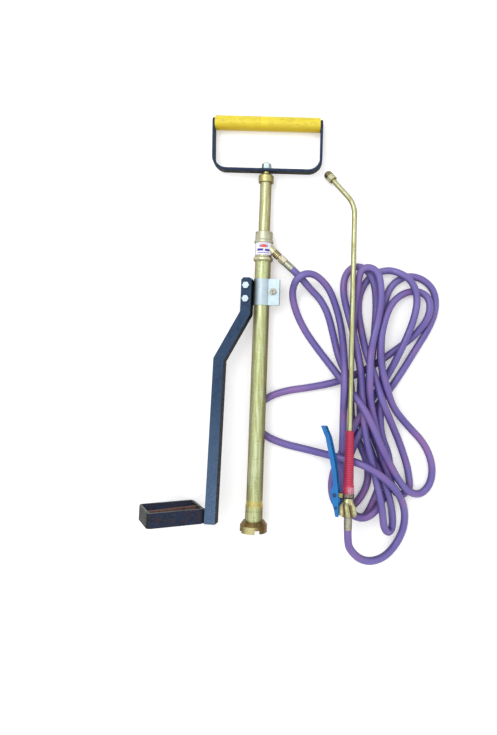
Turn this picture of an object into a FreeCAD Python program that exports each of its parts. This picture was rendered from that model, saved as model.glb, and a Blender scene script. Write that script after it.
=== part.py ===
"""Brass stirrup pump for orchards and vineyards, lying on the floor with its hose and trigger lance.

Millimetres, +Z up. The pump is drawn in its own frame and then laid down: there the stations run
along +Y from the face of the suction collar, +X is to the right of a person who looks down on it,
and +Z points up at them. The lance has such a frame too, with its stations counted from the hose.
"""
import FreeCAD
import Part
import math
import os

V = FreeCAD.Vector
Placement = FreeCAD.Placement
Rotation = FreeCAD.Rotation
X_AXIS = V(1, 0, 0)
Y_AXIS = V(0, 1, 0)
Z_AXIS = V(0, 0, 1)

# Where the object's own box has its middle, counted from the camera's plumb point on the floor
origin_x = -77.232
origin_y = -6.493

# How the pump lies: the collar's place on the floor plan, the lean to the right and the roll
collar_x = -72.1
collar_y = -348.4
lean_deg = 1.59
roll_deg = 8.6

# Clearances
running_gap = 0.05
free_gap = 0.3

# Barrel
barrel_od = 26.0
barrel_wall = 1.5
barrel_foot = 14.0
barrel_top = 438.0
sleeve_wall = 0.8
sleeve_top = 41.0
sleeve_groove_at = 31.5
sleeve_groove_width = 2.2
sleeve_groove_depth = 0.5

# Suction collar with its four slots
collar_od = 43.0
collar_rim = 10.5
collar_top = 16.5
collar_shoulder_od = 33.5
collar_mouth_od = 32.0
collar_mouth_depth = 8.0
collar_lip_od = 18.0
slot_count = 4
slot_width = 9.4
slot_depth = 5.5
slot_turn_deg = 22.0
strainer_thick = 1.0
strainer_hole_d = 4.4
strainer_ring_d = 17.0
strainer_holes = 6

# Suction valve
seat_flange = 4.0
seat_top = 38.5
seat_bore_d = 10.0
seat_cage_d = 16.0
seat_cone_from = 17.0
seat_cone_high = 3.0
suction_ball_d = 13.0
ball_lift = 4.0
stop_pin_d = 2.0

# Head, gland and outlet
bead_od = 32.4
bead_high = 9.0
bead_from = 430.0
head_od = 27.3
head_top = 462.0
head_chamber_top = 455.0
neck_od = 24.4
neck_top = 468.0
packing_top = 478.0
gland_lip_od = 31.4
gland_lip_high = 5.5
gland_od = 28.8
gland_top = 481.0
gland_notches = 4
gland_notch_width = 7.0
gland_notch_depth = 2.2
gland_notch_high = 5.0
outlet_angle_deg = 42.0
outlet_side = 16.0
outlet_station = 448.5
outlet_boss_od = 13.0
outlet_boss_long = 4.0
outlet_bore_d = 6.0
spigot_od = 9.0
spigot_ring_od = 13.4
spigot_long = 13.0
spigot_rings = 3
hose_nut_af = 12.4
hose_nut_long = 14.0
hose_nut_chamfer = 1.2
hose_nut_nose = 1.5
hose_nut_nose_od = 9.0
ferrule_od = 12.2
ferrule_long = 14.5

# Plunger and piston
plunger_od = 19.0
plunger_wall = 1.5
plunger_foot = 145.3
cap_from = 566.0
cap_high = 14.0
cap_od = 25.4
stud_neck_od = 11.3
stud_neck_high = 4.5
stud_d = 10.0
stud_past_nut = 2.0
socket_deep = 6.0
piston_foot = 125.0
piston_flange = 4.0
piston_cup_high = 12.0
piston_core_d = 15.0
piston_bore_d = 8.0
piston_chamber_d = 12.0
piston_cone_from = 133.0
piston_cone_high = 4.0
piston_stub_high = 15.0
delivery_ball_d = 10.0
cross_hole_d = 4.0
cross_hole_past_stub = 6.0

# Handle
bar_thick = 4.4
bar_wide = 18.0
handle_wide = 189.2
handle_corner_r = 17.0
bar_from_cap = 4.8
grip_station = 670.0
grip_od = 25.4
rod_d = 8.0
washer_od = 16.0
washer_thick = 1.2
handle_nut_af = 14.0
handle_nut_high = 8.0

# Clamp round the barrel
clamp_from = 357.5
clamp_long = 43.5
clamp_sheet = 1.5
clamp_plane = 7.5
clamp_split = 4.0
clamp_right = 30.5
clamp_left = 29.5
clamp_bolt_side = 20.8
clamp_bolt_station = 380.0
clamp_bolt_d = 6.0
clamp_bolt_af = 9.5
clamp_bolt_head = 4.0

# Foot arm, a rectangular steel tube
arm_wide = 17.0
arm_deep = 18.0
arm_wall = 2.0
arm_top = 401.0
arm_foot = 14.5
arm_side = 20.9
arm_low_side = 61.0
arm_bend_top = 345.0
arm_bend_low = 269.0
arm_slant = 11.5
arm_corner_cut = 3.5
arm_bolt_stations = (388.0, 366.2)
arm_bolt_d = 6.0
arm_bolt_af = 10.0
arm_bolt_head = 4.0
nut_high = 5.0

# Foot ring, a closed loop of flat bar
ring_wide = 87.5
ring_deep = 65.0
ring_high = 22.0
ring_thick = 4.0
ring_corner_r = 7.0
ring_foot = 16.0
ring_turn_deg = 35.3
ring_below_arm_face = 0.5
foot_bar_d = 6.0
foot_bar_below_top = 4.5
foot_bar_deep_left = 24.0
foot_bar_deep_right = 33.0
weld_long = 17.0

# Lance: place of its hose end, lean, fall toward the nozzle and roll
lance_x = 75.2
lance_y = -338.2
lance_z = 57.7
lance_lean_deg = 1.93
lance_fall_deg = 3.35
lance_roll_deg = 20.0
tail_od = 12.5
tail_bore_d = 6.0
tail_long = 18.3
union_top = 41.0
union_wide_at = 24.0
union_od = 28.4
union_neck_od = 17.0
union_foot_od = 13.0
union_lobes = 6
union_flute_d = 9.0
union_flute_out = 14.6
body_neck_od = 14.4
body_core_od = 12.0
collar_ring_od = 17.8
collar_ring_from = 48.6
o_ring_thick = 1.6
o_ring_od = collar_ring_od + 0.4
body_top = 53.8
lug_reach = 27.0
lug_wide = 6.5
lug_thick = 8.0
pivot_side = 20.6
pivot_station = 50.0
pivot_pin_d = 3.2
lance_grip_top = 148.4
lance_grip_top_od = 12.8
lance_grip_low_od = 14.5
lance_grip_flare_od = 17.8
lance_grip_flare_long = 12.1
lance_tube_od = 8.5
lance_tube_wall = 1.2
bend_station = 517.1
bend_angle_deg = 41.0
bend_radius = 48.0
tip_long = 59.0
nozzle_nut_af = 13.5
nozzle_nut_long = 9.5
nozzle_core_od = 9.0
nozzle_core_long = 5.0
cap_dome_od = 15.0
cap_dome_long = 9.5
nozzle_hole_d = 1.6

# Trigger lever, a channel open to the grip, and the valve stem that it pulls
lever_deep = 14.0
lever_sheet = 1.6
lever_outer_edge = [(-46, 153.7), (-37.7, 136.3), (-30.8, 107.8), (-25.2, 83), (-23.4, 65.1),
                    (-28, 53.9), (-26, 41.7), (-20.8, 28.4), (-18.7, 18.3)]
lever_inner_edge = [(-13.8, 18.3), (-13.8, 28.4), (-14.4, 41.7), (-14.8, 53.9), (-16.5, 65.1),
                    (-18.7, 83), (-23.7, 107.8), (-31.1, 136.3), (-39.5, 153.7)]
lever_web_foot = 57.0
stem_station = 42.9
stem_d = 3.6
stem_inner = 3.0
stem_head_d = 6.4
stem_head_thick = 2.0
tab_inner = 12.5
tab_wall = 2.0
tab_outer = 17.0
tab_half_wide = 3.5


def turned(profile, start=None, axis=None):
    """Solid of revolution about +Y from (radius, station) corners."""
    points = [V(radius, station, 0) for radius, station in profile]
    face = Part.Face(Part.makePolygon(points + [points[0]]))
    return face.revolve(V(0, 0, 0), Y_AXIS, 360)


def rod(diameter, start, end):
    """Round bar between two points."""
    way = end.sub(start)
    return Part.makeCylinder(diameter / 2, way.Length, start, way)


def tube(outer, inner, low, high):
    """Tube along +Y between two stations."""
    body = rod(outer, V(0, low, 0), V(0, high, 0))
    return body.cut(rod(inner, V(0, low, 0), V(0, high, 0)))


def block(low, high):
    """Box between two corners."""
    size = high.sub(low)
    return Part.makeBox(size.x, size.y, size.z, low)


def hexagon(across_flats, start, end, turn_deg=0.0):
    """Hexagonal prism between two points."""
    way = end.sub(start)
    corner = across_flats / math.sqrt(3)
    points = [V(corner * math.cos(math.radians(60 * i + turn_deg)),
                corner * math.sin(math.radians(60 * i + turn_deg)), 0) for i in range(7)]
    prism = Part.Face(Part.makePolygon(points)).extrude(V(0, 0, way.Length))
    prism.Placement = Placement(start, Rotation(Z_AXIS, way))
    return prism


def prism(points, low_z, high_z):
    """Upright prism on a plan outline of (x, station) corners."""
    corners = [V(x, y, low_z) for x, y in points]
    return Part.Face(Part.makePolygon(corners + [corners[0]])).extrude(V(0, 0, high_z - low_z))


def rounded(shape, radius, test):
    """Fillet of the edges that pass a test."""
    return shape.makeFillet(radius, [edge for edge in shape.Edges if test(edge)])


def moved(shape, place):
    """Copy of a shape in another frame."""
    copy = shape.copy()
    copy.Placement = place.multiply(copy.Placement)
    return copy


# Sizes that follow from the ones above
barrel_r = barrel_od / 2
barrel_bore_r = barrel_r - barrel_wall
plunger_r = plunger_od / 2
plunger_bore_r = plunger_r - plunger_wall
grip_r = grip_od / 2
cap_top = cap_from + cap_high
bar_outer = cap_top + bar_from_cap
bar_inner = bar_outer + bar_thick
washer_foot = bar_inner + free_gap
handle_half = handle_wide / 2
saddle_r = barrel_r + clamp_sheet
arm_front = clamp_plane + arm_deep


def ball_station(ball_r, low_r, low_at, cone_r, cone_high):
    """Station of a ball's centre just clear of its conical seat."""
    slope = math.hypot(cone_r - low_r, cone_high)
    reach = (ball_r + free_gap) * slope - low_r * cone_high
    return low_at + reach / (cone_r - low_r)


suction_ball_at = ball_station(suction_ball_d / 2, seat_bore_d / 2, seat_cone_from,
                               seat_cage_d / 2 - 0.5, seat_cone_high)
delivery_ball_at = ball_station(delivery_ball_d / 2, piston_bore_d / 2, piston_cone_from,
                                piston_chamber_d / 2, piston_cone_high)

# The ring's frame: its front right corner meets the arm's side, and it is turned about the pump's axis
ring_corner = V(-arm_low_side - arm_wide / 2, ring_foot,
                arm_front + arm_slant * (arm_bend_top - ring_foot) / (arm_bend_top - arm_foot)
                - ring_below_arm_face)
ring_place = Placement(ring_corner, Rotation(Y_AXIS, ring_turn_deg))


def lay_pump():
    """Frame of the pump as it lies: the ring's lowest corner and the grip both touch the floor."""
    rolled = Rotation(Y_AXIS, -roll_deg)
    bend = V(-ring_corner_r, ring_high, ring_corner_r - ring_deep)
    corner = rolled.multVec(ring_place.multVec(bend))
    drop = corner.z - ring_corner_r
    reach = grip_station - corner.y
    span = math.hypot(drop, reach)
    tilt = math.acos(-grip_r / span) - math.atan2(reach, drop)
    height = grip_r - grip_station * math.sin(tilt)
    turn = Rotation(Z_AXIS, -lean_deg).multiply(Rotation(X_AXIS, math.degrees(tilt)))
    return Placement(V(collar_x - origin_x, collar_y - origin_y, height), turn)


pump_axis_place = lay_pump()
pump_place = pump_axis_place.multiply(Placement(V(0, 0, 0), Rotation(Y_AXIS, -roll_deg)))
lance_place = Placement(V(lance_x - origin_x, lance_y - origin_y, lance_z),
                        Rotation(Z_AXIS, -lance_lean_deg)
                        .multiply(Rotation(X_AXIS, -lance_fall_deg))
                        .multiply(Rotation(Y_AXIS, -lance_roll_deg)))


# Hose: its size, the share of the shorter run that each bend takes, and the points that it follows,
# read off as it lies in a loose bundle. The lowest points lie on the floor.
hose_od = 12.0
hose_bend_share = 0.45
hose_station = outlet_boss_long + spigot_long + hose_nut_long + ferrule_long
hose_route = [
    # Down from the outlet to the first turn
    (80.2, 60.9, 29.6), (95, 43.5, 20), (113, 26.5, 6.2), (125.5, 2, 6.2), (133.5, -31, 6.2),
    (141, -64.5, 6.2), (149, -87, 20), (163, -108, 19), (162, -140, 6.2), (164, -179, 6.2),
    # First turn
    (178, -214.5, 6.2), (188.5, -240, 6.2), (190.5, -267.5, 6.2), (181.5, -291, 6.2),
    # Low turn under the lance's union
    (164, -311.5, 6.2), (144.5, -315.5, 6.2), (131.5, -299, 6.2), (129, -270.5, 6.2),
    (139, -240, 6.2),
    # Up across the bundle
    (152.5, -213, 7), (167, -180, 22), (184, -152.5, 22.5), (205, -126.5, 13.5), (221, -104, 6.2),
    # Right side of the third top loop
    (237, -72.5, 20), (254.5, -37, 20), (267.5, -5, 20), (274, 29.5, 20),
    # Its top
    (263.5, 58, 20), (241.5, 71.5, 20), (221.5, 76, 9),
    # Down to the right of the bundle
    (196.5, 66, 6.2), (180, 41.5, 6.2), (175, 10.5, 6.2), (181, -28, 6.2), (185.5, -61, 33.5),
    (196.5, -91.5, 33.5), (205, -118.5, 33.5), (211.5, -143, 42), (225.5, -174, 26.5),
    (242, -209.5, 6.2), (253, -243.5, 6.2), (256, -261, 6.2), (258, -280.5, 6.2),
    # Its low turn
    (247, -292.5, 7), (230.5, -287, 16),
    # Up under the bundle
    (220.5, -253, 21.5), (209.5, -225, 20), (203.5, -197.5, 33.5),
    # Up on the bundle
    (197.5, -169, 33.5), (192.5, -140.5, 33.5), (189.5, -114, 47), (190, -90.5, 47),
    (191.5, -65.5, 47), (198.5, -36.5, 33.5), (206.5, -6, 33.5), (212, 30, 33.5),
    # Top of the middle loop
    (209, 64.5, 33.5), (199, 76, 33.5), (185, 77.5, 33.5), (176.5, 68.5, 30),
    # Down its left side
    (174, 44.5, 20), (170, 11.5, 18.5),
    # Down under the bundle
    (166.5, -26.5, 11), (171.5, -58, 6.2), (176, -79, 18), (178.5, -100, 20.5), (177.5, -132, 6.2),
    (177.5, -166, 6.2), (185.5, -198.5, 6.2), (198, -230.5, 6.2), (204.5, -250, 20),
    (212, -268.5, 21.5), (220, -286.5, 25.5),
    # Narrow low fold
    (228, -316.5, 6.2), (228.5, -343, 9),
    # Up on the bundle
    (220, -348.5, 19.5), (211, -337, 31.5), (209, -309, 33.5), (204.5, -286, 33.5),
    (199.5, -263, 33.5), (194, -238, 33.5), (185.5, -203.5, 34), (180, -165.5, 37), (180, -127, 28),
    (177, -86.5, 34), (170.5, -51, 28.5), (163.5, -20, 27.5),
    # Left side of the second top loop
    (155.5, 9.5, 21), (150.5, 41, 6.2), (154, 68, 6.2),
    # Its top
    (169, 82.5, 13), (188.5, 77.5, 18),
    # Down its right side
    (202, 55.5, 20), (206.5, 20.5, 6.2), (203.5, -21.5, 6.2),
    # Down under the bundle
    (197.5, -67.5, 20), (193, -92, 20), (189.5, -125.5, 6.2), (190.5, -164.5, 6.2),
    (199.5, -201.5, 6.2), (213, -232, 6.2), (212.5, -259.5, 6.2),
    # Wide low turn
    (206.5, -283, 6.2), (193.5, -312.5, 6.2), (183, -328.5, 7.5), (166, -322.5, 17.5),
    (155, -305, 23), (152.5, -284.5, 13), (153, -256, 6.2), (160.5, -229, 6.2),
    # Up across the bundle
    (169.5, -204, 20), (183.5, -179, 20), (194, -163.5, 22), (205, -150, 12), (217.5, -134.5, 6.2),
    (232.5, -115.5, 6.2), (251, -88.5, 6.2), (271.5, -56, 6.2), (294, -21.5, 6.2),
    # Right side of the outer top loop
    (306.5, 10.5, 6.2), (304.5, 41, 6.2),
    # Its top
    (286.5, 60.5, 6.2), (262, 67, 6.2), (239, 57.5, 6.2), (223.5, 36, 6.2),
    # Down under the bundle
    (219, 2, 6.2), (215, -29.5, 8), (211.5, -59.5, 19), (213.5, -92, 20), (214, -120.5, 23.5),
    (210.5, -144.5, 26.5), (208, -168.5, 24), (211, -198, 20), (225, -230.5, 6.2), (225, -256, 6.2),
    # Wide low turn, second time
    (222.5, -279, 6.2), (214, -297.5, 9), (200.5, -314, 21.5), (181.5, -325.5, 24), (160, -317, 34),
    # Up beside the lance
    (147.5, -298, 33.5), (144, -273.5, 20),
    # Up to the left loop
    (146, -238.5, 18), (148, -199, 22), (148.5, -163.5, 26.5), (149, -130.5, 42), (150.5, -97.5, 40),
    (150.5, -62.5, 26.5), (148, -23, 6.2), (139.5, 14, 6.2), (125, 48, 20), (100, 69, 33.5),
    (75.5, 62, 47),
    # Down the left loop
    (64.5, 39.5, 20), (70, 9, 6.2), (86, -25.5, 6.2), (108.5, -57, 6.2), (129.5, -84, 13),
    # Down over the bundle and round the right loop
    (147, -107, 21.5), (159.5, -123.5, 30.5), (171, -136.5, 41), (183.5, -155.5, 49.5),
    (195.5, -181, 48), (206.5, -209, 47), (220.5, -236.5, 33.5), (235, -263.5, 27.5),
    (251.5, -284, 23.5), (275.5, -292.5, 6.2), (292.5, -273.5, 6.2), (295.5, -243.5, 6.2),
    (283, -210.5, 6.2), (255.5, -181.5, 6.2),
    # Up to the inner top loop
    (229, -151, 26.5), (218, -118, 37), (209.5, -83.5, 33.5), (208.5, -54.5, 33.5), (214, -20, 26.5),
    # Inner top loop
    (227.5, 17, 20), (251.5, 37.5, 6.2), (277.5, 41.5, 6.2), (294.5, 26.5, 20),
    # Down to the left, under the bundle and the barrel
    (291.5, -5, 20), (269.5, -34.5, 6.2), (239, -57, 6.2), (208, -78.5, 6.2), (174.5, -97.5, 6.2),
    (136.5, -111.5, 6.2), (95, -119.5, 6.2), (55.5, -124.5, 6.2), (25, -135, 6.2), (3.5, -154.5, 6.2),
    (3, -180.5, 6.2), (22, -199, 6.2),
    # Back over the bundle and round to the lance
    (52.5, -211.5, 6.2), (90, -220, 6.2), (128.5, -226, 28), (158.5, -232, 34.5), (184, -239, 47),
    (210.5, -256, 47), (235, -282, 33.5), (249.5, -316.5, 6.2), (247, -344.5, 6.2),
    (234.5, -369.5, 6.2), (213.5, -385, 20), (191, -388, 32), (172, -381, 42.5), (158, -366, 51),
    (151.8, -351.7, 58.9),
]


def barrel_tube():
    """Barrel of drawn brass tube."""
    return tube(barrel_od, 2 * barrel_bore_r, barrel_foot, barrel_top)


def foot_sleeve():
    """Sleeve soldered round the barrel's foot, with a shallow groove."""
    outer = barrel_r + sleeve_wall
    low = sleeve_groove_at
    high = low + sleeve_groove_width
    waist = outer - sleeve_groove_depth
    return turned([(barrel_r, collar_top), (outer, collar_top), (outer, low), (waist, low),
                   (waist, high), (outer, high), (outer, sleeve_top), (barrel_r, sleeve_top)])


def base_collar():
    """Castellated suction collar: mouth, inner lip that holds the valve seat, socket and slots."""
    mouth = collar_mouth_od / 2
    lip = collar_lip_od / 2
    lip_top = barrel_foot - seat_flange
    rim = collar_od / 2
    ring = turned([(mouth, 0), (rim, 0), (rim, collar_rim), (collar_shoulder_od / 2, collar_top),
                   (barrel_r, collar_top), (barrel_r, lip_top), (lip, lip_top),
                   (lip, collar_mouth_depth), (mouth, collar_mouth_depth)])
    for step in range(slot_count):
        slot = block(V(-slot_width / 2, -1, mouth - 2), V(slot_width / 2, slot_depth, rim + 1))
        slot.rotate(V(0, 0, 0), Y_AXIS, slot_turn_deg + roll_deg + 360 / slot_count * step)
        ring = ring.cut(slot)
    return ring


def strainer():
    """Perforated disc at the bottom of the collar's mouth."""
    top = collar_mouth_depth
    disc = rod(collar_mouth_od, V(0, top - strainer_thick, 0), V(0, top, 0))
    holes = [rod(strainer_hole_d, V(0, 0, 0), V(0, top, 0))]
    for step in range(strainer_holes):
        turn = 2 * math.pi * step / strainer_holes
        side = V(strainer_ring_d / 2 * math.cos(turn), 0, strainer_ring_d / 2 * math.sin(turn))
        holes.append(rod(strainer_hole_d, side, side.add(V(0, top, 0))))
    return disc.cut(holes)


def suction_seat():
    """Seat and cage of the suction valve, clamped between the collar and the barrel's foot."""
    low = barrel_foot - seat_flange
    bore = seat_bore_d / 2
    cage = seat_cage_d / 2
    cone_top = seat_cone_from + seat_cone_high
    seat = turned([(bore, low), (barrel_r, low), (barrel_r, barrel_foot), (barrel_bore_r, barrel_foot),
                   (barrel_bore_r, seat_top), (cage, seat_top), (cage, cone_top),
                   (cage - 0.5, cone_top), (bore, seat_cone_from)])
    return seat.cut(stop_pin_bar(suction_stop_at(), barrel_bore_r))


def suction_stop_at():
    """Station of the pin that stops the suction ball's lift."""
    return suction_ball_at + suction_ball_d / 2 + ball_lift + free_gap + stop_pin_d / 2


def delivery_stop_at():
    """Station of the pin that stops the delivery ball's lift."""
    return delivery_ball_at + delivery_ball_d / 2 + ball_lift + free_gap + stop_pin_d / 2


def stop_pin_bar(station, reach):
    """Cross pin at a station, out to a radius."""
    return rod(stop_pin_d, V(-reach, station, 0), V(reach, station, 0))


def ball(diameter, station):
    """Valve ball."""
    return Part.makeSphere(diameter / 2, V(0, station, 0))


def outlet_point(along):
    """Point on the outlet's axis, counted from the boss."""
    turn = math.radians(outlet_angle_deg)
    return V(outlet_side + along * math.cos(turn), outlet_station - along * math.sin(turn), 0)


def delivery_head():
    """Head casting: rounded bead, plain drum, threaded neck and the slanted outlet boss."""
    bead_top = bead_from + bead_high
    soft = bead_high * 0.3
    bead = bead_od / 2
    body = turned([(0, bead_from), (bead - soft, bead_from), (bead, bead_from + soft),
                   (bead, bead_top - soft), (bead - soft, bead_top), (head_od / 2, bead_top),
                   (head_od / 2, head_top), (neck_od / 2, head_top), (neck_od / 2, neck_top),
                   (0, neck_top)])
    boss = rod(outlet_boss_od, outlet_point(-outlet_side), outlet_point(outlet_boss_long))
    body = body.fuse(boss)
    chamber = turned([(0, bead_from - 1), (barrel_r, bead_from - 1), (barrel_r, barrel_top),
                      (barrel_bore_r, barrel_top), (barrel_bore_r, head_chamber_top),
                      (plunger_r + running_gap, head_chamber_top),
                      (plunger_r + running_gap, neck_top + 1), (0, neck_top + 1)])
    way = rod(outlet_bore_d, outlet_point(-8), outlet_point(outlet_boss_long + 1))
    return body.cut([chamber, way]).removeSplitter()


def gland_packing():
    """Soft ring that the gland nut presses round the plunger."""
    return tube(neck_od, plunger_od + 2 * free_gap, neck_top, packing_top)


def gland_nut():
    """Gland nut with a flared lip and square spanner notches."""
    lip_top = head_top + gland_lip_high
    nut = turned([(neck_od / 2, head_top), (gland_lip_od / 2, head_top),
                  (gland_lip_od / 2, lip_top - 2), (gland_od / 2, lip_top),
                  (gland_od / 2, gland_top - 1), (gland_od / 2 - 1, gland_top),
                  (plunger_r + free_gap, gland_top), (plunger_r + free_gap, packing_top),
                  (neck_od / 2, packing_top)])
    half = gland_notch_width / 2
    for step in range(gland_notches):
        notch = block(V(-half, gland_top - gland_notch_high, gland_od / 2 - gland_notch_depth),
                      V(half, gland_top + 1, gland_od))
        notch.rotate(V(0, 0, 0), Y_AXIS, 45 + 360 / gland_notches * step)
        nut = nut.cut(notch)
    return nut


def outlet_spigot():
    """Ringed spigot screwed into the outlet boss."""
    start = outlet_boss_long
    body = rod(spigot_od, outlet_point(start), outlet_point(start + spigot_long))
    pitch = spigot_long / (spigot_rings + 1)
    for step in range(spigot_rings):
        at = start + pitch * (step + 0.6)
        body = body.fuse(rod(spigot_ring_od, outlet_point(at), outlet_point(at + pitch / 2)))
    bore = rod(outlet_bore_d, outlet_point(start - 1), outlet_point(start + spigot_long + 1))
    return body.cut(bore).removeSplitter()


def outlet_nut():
    """Hexagonal nut that holds the hose tail on the spigot, chamfered, with a slim nose."""
    start = outlet_boss_long + spigot_long
    end = start + hose_nut_long
    face = end - hose_nut_nose
    nut = hexagon(hose_nut_af, outlet_point(start), outlet_point(face), 30)
    corners = rod(2 * hose_nut_af / math.sqrt(3), outlet_point(start), outlet_point(face))
    nut = nut.common(corners.makeChamfer(hose_nut_chamfer, corners.Edges[0:3:2]))
    nose = rod(hose_nut_nose_od, outlet_point(face - 1), outlet_point(end))
    return nut.fuse(nose).removeSplitter().cut(rod(outlet_bore_d, outlet_point(start), outlet_point(end)))


def outlet_ferrule():
    """Ferrule between the nut and the hose."""
    start = outlet_boss_long + spigot_long + hose_nut_long
    body = rod(ferrule_od, outlet_point(start), outlet_point(start + ferrule_long))
    return body.cut(rod(outlet_bore_d, outlet_point(start), outlet_point(start + ferrule_long)))


def piston():
    """Piston: two flanges, the core between them and the stub inside the plunger."""
    outer = barrel_bore_r - free_gap
    core = piston_core_d / 2
    cup_from = piston_foot + piston_flange
    cup_to = cup_from + piston_cup_high
    top = plunger_foot - free_gap
    stub = plunger_bore_r - running_gap
    stub_top = top + piston_stub_high
    bore = piston_bore_d / 2
    room = piston_chamber_d / 2
    body = turned([(bore, piston_foot), (outer, piston_foot), (outer, cup_from), (core, cup_from),
                   (core, cup_to), (outer, cup_to), (outer, top), (stub, top), (stub, stub_top),
                   (room, stub_top), (room, piston_cone_from + piston_cone_high),
                   (bore, piston_cone_from)])
    return body.cut(stop_pin_bar(delivery_stop_at(), stub))


def piston_cup():
    """Cup washer that seals the piston in the barrel."""
    low = piston_foot + piston_flange
    outer = barrel_bore_r - running_gap
    core = piston_core_d / 2
    lip = outer - 1.5
    return turned([(core, low), (outer, low), (outer, low + piston_cup_high - 1),
                   (lip, low + piston_cup_high - 1), (lip, low + 4),
                   (core, low + 4)])


def plunger_tube():
    """Hollow plunger with two cross holes above the piston."""
    body = tube(plunger_od, 2 * plunger_bore_r, plunger_foot, cap_from + socket_deep)
    station = plunger_foot + piston_stub_high + cross_hole_past_stub
    hole = rod(cross_hole_d, V(-plunger_od, station, 0), V(plunger_od, station, 0))
    return body.cut(hole)


def plunger_cap():
    """Cap of the plunger with the stud that carries the handle."""
    neck = cap_top + stud_neck_high
    stud_top = washer_foot + washer_thick + handle_nut_high + stud_past_nut
    return turned([(0, cap_from + socket_deep), (plunger_r, cap_from + socket_deep),
                   (plunger_r, cap_from), (cap_od / 2, cap_from), (cap_od / 2, cap_top - 3),
                   (cap_od / 2 - 3, cap_top), (stud_neck_od / 2, cap_top), (stud_neck_od / 2, neck),
                   (stud_d / 2, neck), (stud_d / 2, stud_top), (0, stud_top)])


def handle_frame():
    """U of flat bar: bent at two round corners, holed for the stud and the grip's rod."""
    half_deep = bar_wide / 2

    def outline(side, low, radius):
        top = grip_station
        solid = block(V(-side, low, -half_deep), V(side, top, half_deep))
        return rounded(solid, radius, lambda edge: edge.BoundBox.ZLength > 1
                       and abs(edge.BoundBox.YMax - low) < 0.01)

    inner = handle_half - bar_thick
    frame = outline(handle_half, bar_outer, handle_corner_r)
    frame = frame.cut(outline(inner, bar_inner, handle_corner_r - bar_thick))
    for side in (-1, 1):
        start = V(side * inner, grip_station, 0)
        frame = frame.fuse(rod(bar_wide, start, V(side * handle_half, grip_station, 0)))
    holes = [rod(rod_d, V(-handle_half, grip_station, 0), V(handle_half, grip_station, 0)),
             rod(stud_d, V(0, bar_outer - 1, 0), V(0, bar_inner + 1, 0))]
    return frame.removeSplitter().cut(holes)


def handle_rod():
    """Rod through the grip, peened flush with both legs."""
    return rod(rod_d, V(-handle_half, grip_station, 0), V(handle_half, grip_station, 0))


def handle_grip():
    """Plastic grip that turns on its rod."""
    half = handle_half - bar_thick - free_gap
    ends = (V(-half, grip_station, 0), V(half, grip_station, 0))
    body = rod(grip_od, *ends)
    body = rounded(body, 1.0, lambda edge: edge.Curve.TypeId == "Part::GeomCircle")
    return body.cut(rod(rod_d + 2 * running_gap, *ends))


def handle_washer():
    """Washer under the handle's nut."""
    top = washer_foot + washer_thick
    return tube(washer_od, stud_d, washer_foot, top)


def handle_nut():
    """Nut on the plunger's stud."""
    start = V(0, washer_foot + washer_thick, 0)
    end = start.add(V(0, handle_nut_high, 0))
    return hexagon(handle_nut_af, start, end).cut(rod(stud_d, start, end))


def clamp_half(front):
    """One half of the clamp: a saddle bent to the barrel between two flat ears."""
    low = clamp_from
    high = clamp_from + clamp_long
    plane = clamp_plane if front else clamp_plane - clamp_sheet - clamp_split
    ears = block(V(-clamp_left, low, plane - clamp_sheet), V(clamp_right, high, plane))
    saddle = rod(2 * saddle_r, V(0, low, 0), V(0, high, 0))
    far = 2 * saddle_r
    if front:
        cut_away = block(V(-far, low - 1, -far), V(far, high + 1, plane - clamp_sheet))
    else:
        cut_away = block(V(-far, low - 1, plane), V(far, high + 1, far))
    body = ears.fuse(saddle.cut(cut_away)).cut(rod(barrel_od, V(0, low, 0), V(0, high, 0)))
    holes = [V(clamp_bolt_side, clamp_bolt_station, 0)]
    holes += [V(-arm_side, station, 0) for station in arm_bolt_stations]
    drills = [rod(clamp_bolt_d, spot.add(V(0, 0, -far)), spot.add(V(0, 0, far))) for spot in holes]
    return body.cut(drills).removeSplitter()


def bolt(spot, top, bottom, diameter, across, head):
    """Hexagon bolt that stands along z, its head's seat at the top."""
    seat = V(spot.x, spot.y, top)
    shank = rod(diameter, V(spot.x, spot.y, bottom), seat)
    return shank.fuse(hexagon(across, seat, seat.add(V(0, 0, head)))).removeSplitter()


def nut(spot, top, diameter, across):
    """Nut below a clamp's ear."""
    end = V(spot.x, spot.y, top - nut_high)
    start = V(spot.x, spot.y, top)
    return hexagon(across, end, start).cut(rod(diameter, end, start))


def arm_spots():
    """Places of the two bolts through the arm."""
    return [V(-arm_side, station, 0) for station in arm_bolt_stations]


back_ear_low = clamp_plane - 2 * clamp_sheet - clamp_split
bolt_end = back_ear_low - nut_high - 1.5


def clamp_bolt():
    """Bolt through the clamp's right ears."""
    spot = V(clamp_bolt_side, clamp_bolt_station, 0)
    return bolt(spot, clamp_plane, bolt_end, clamp_bolt_d, clamp_bolt_af, clamp_bolt_head)


def clamp_nut():
    """Nut of the clamp's bolt."""
    return nut(V(clamp_bolt_side, clamp_bolt_station, 0), back_ear_low, clamp_bolt_d, clamp_bolt_af)


def arm_bolts():
    """Two bolts through the arm and the clamp's left ears."""
    return Part.makeCompound([bolt(spot, arm_front, bolt_end, arm_bolt_d, arm_bolt_af, arm_bolt_head)
                              for spot in arm_spots()])


def arm_nuts():
    """Nuts of the arm's bolts."""
    return Part.makeCompound([nut(spot, back_ear_low, arm_bolt_d, arm_bolt_af)
                              for spot in arm_spots()])


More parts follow.
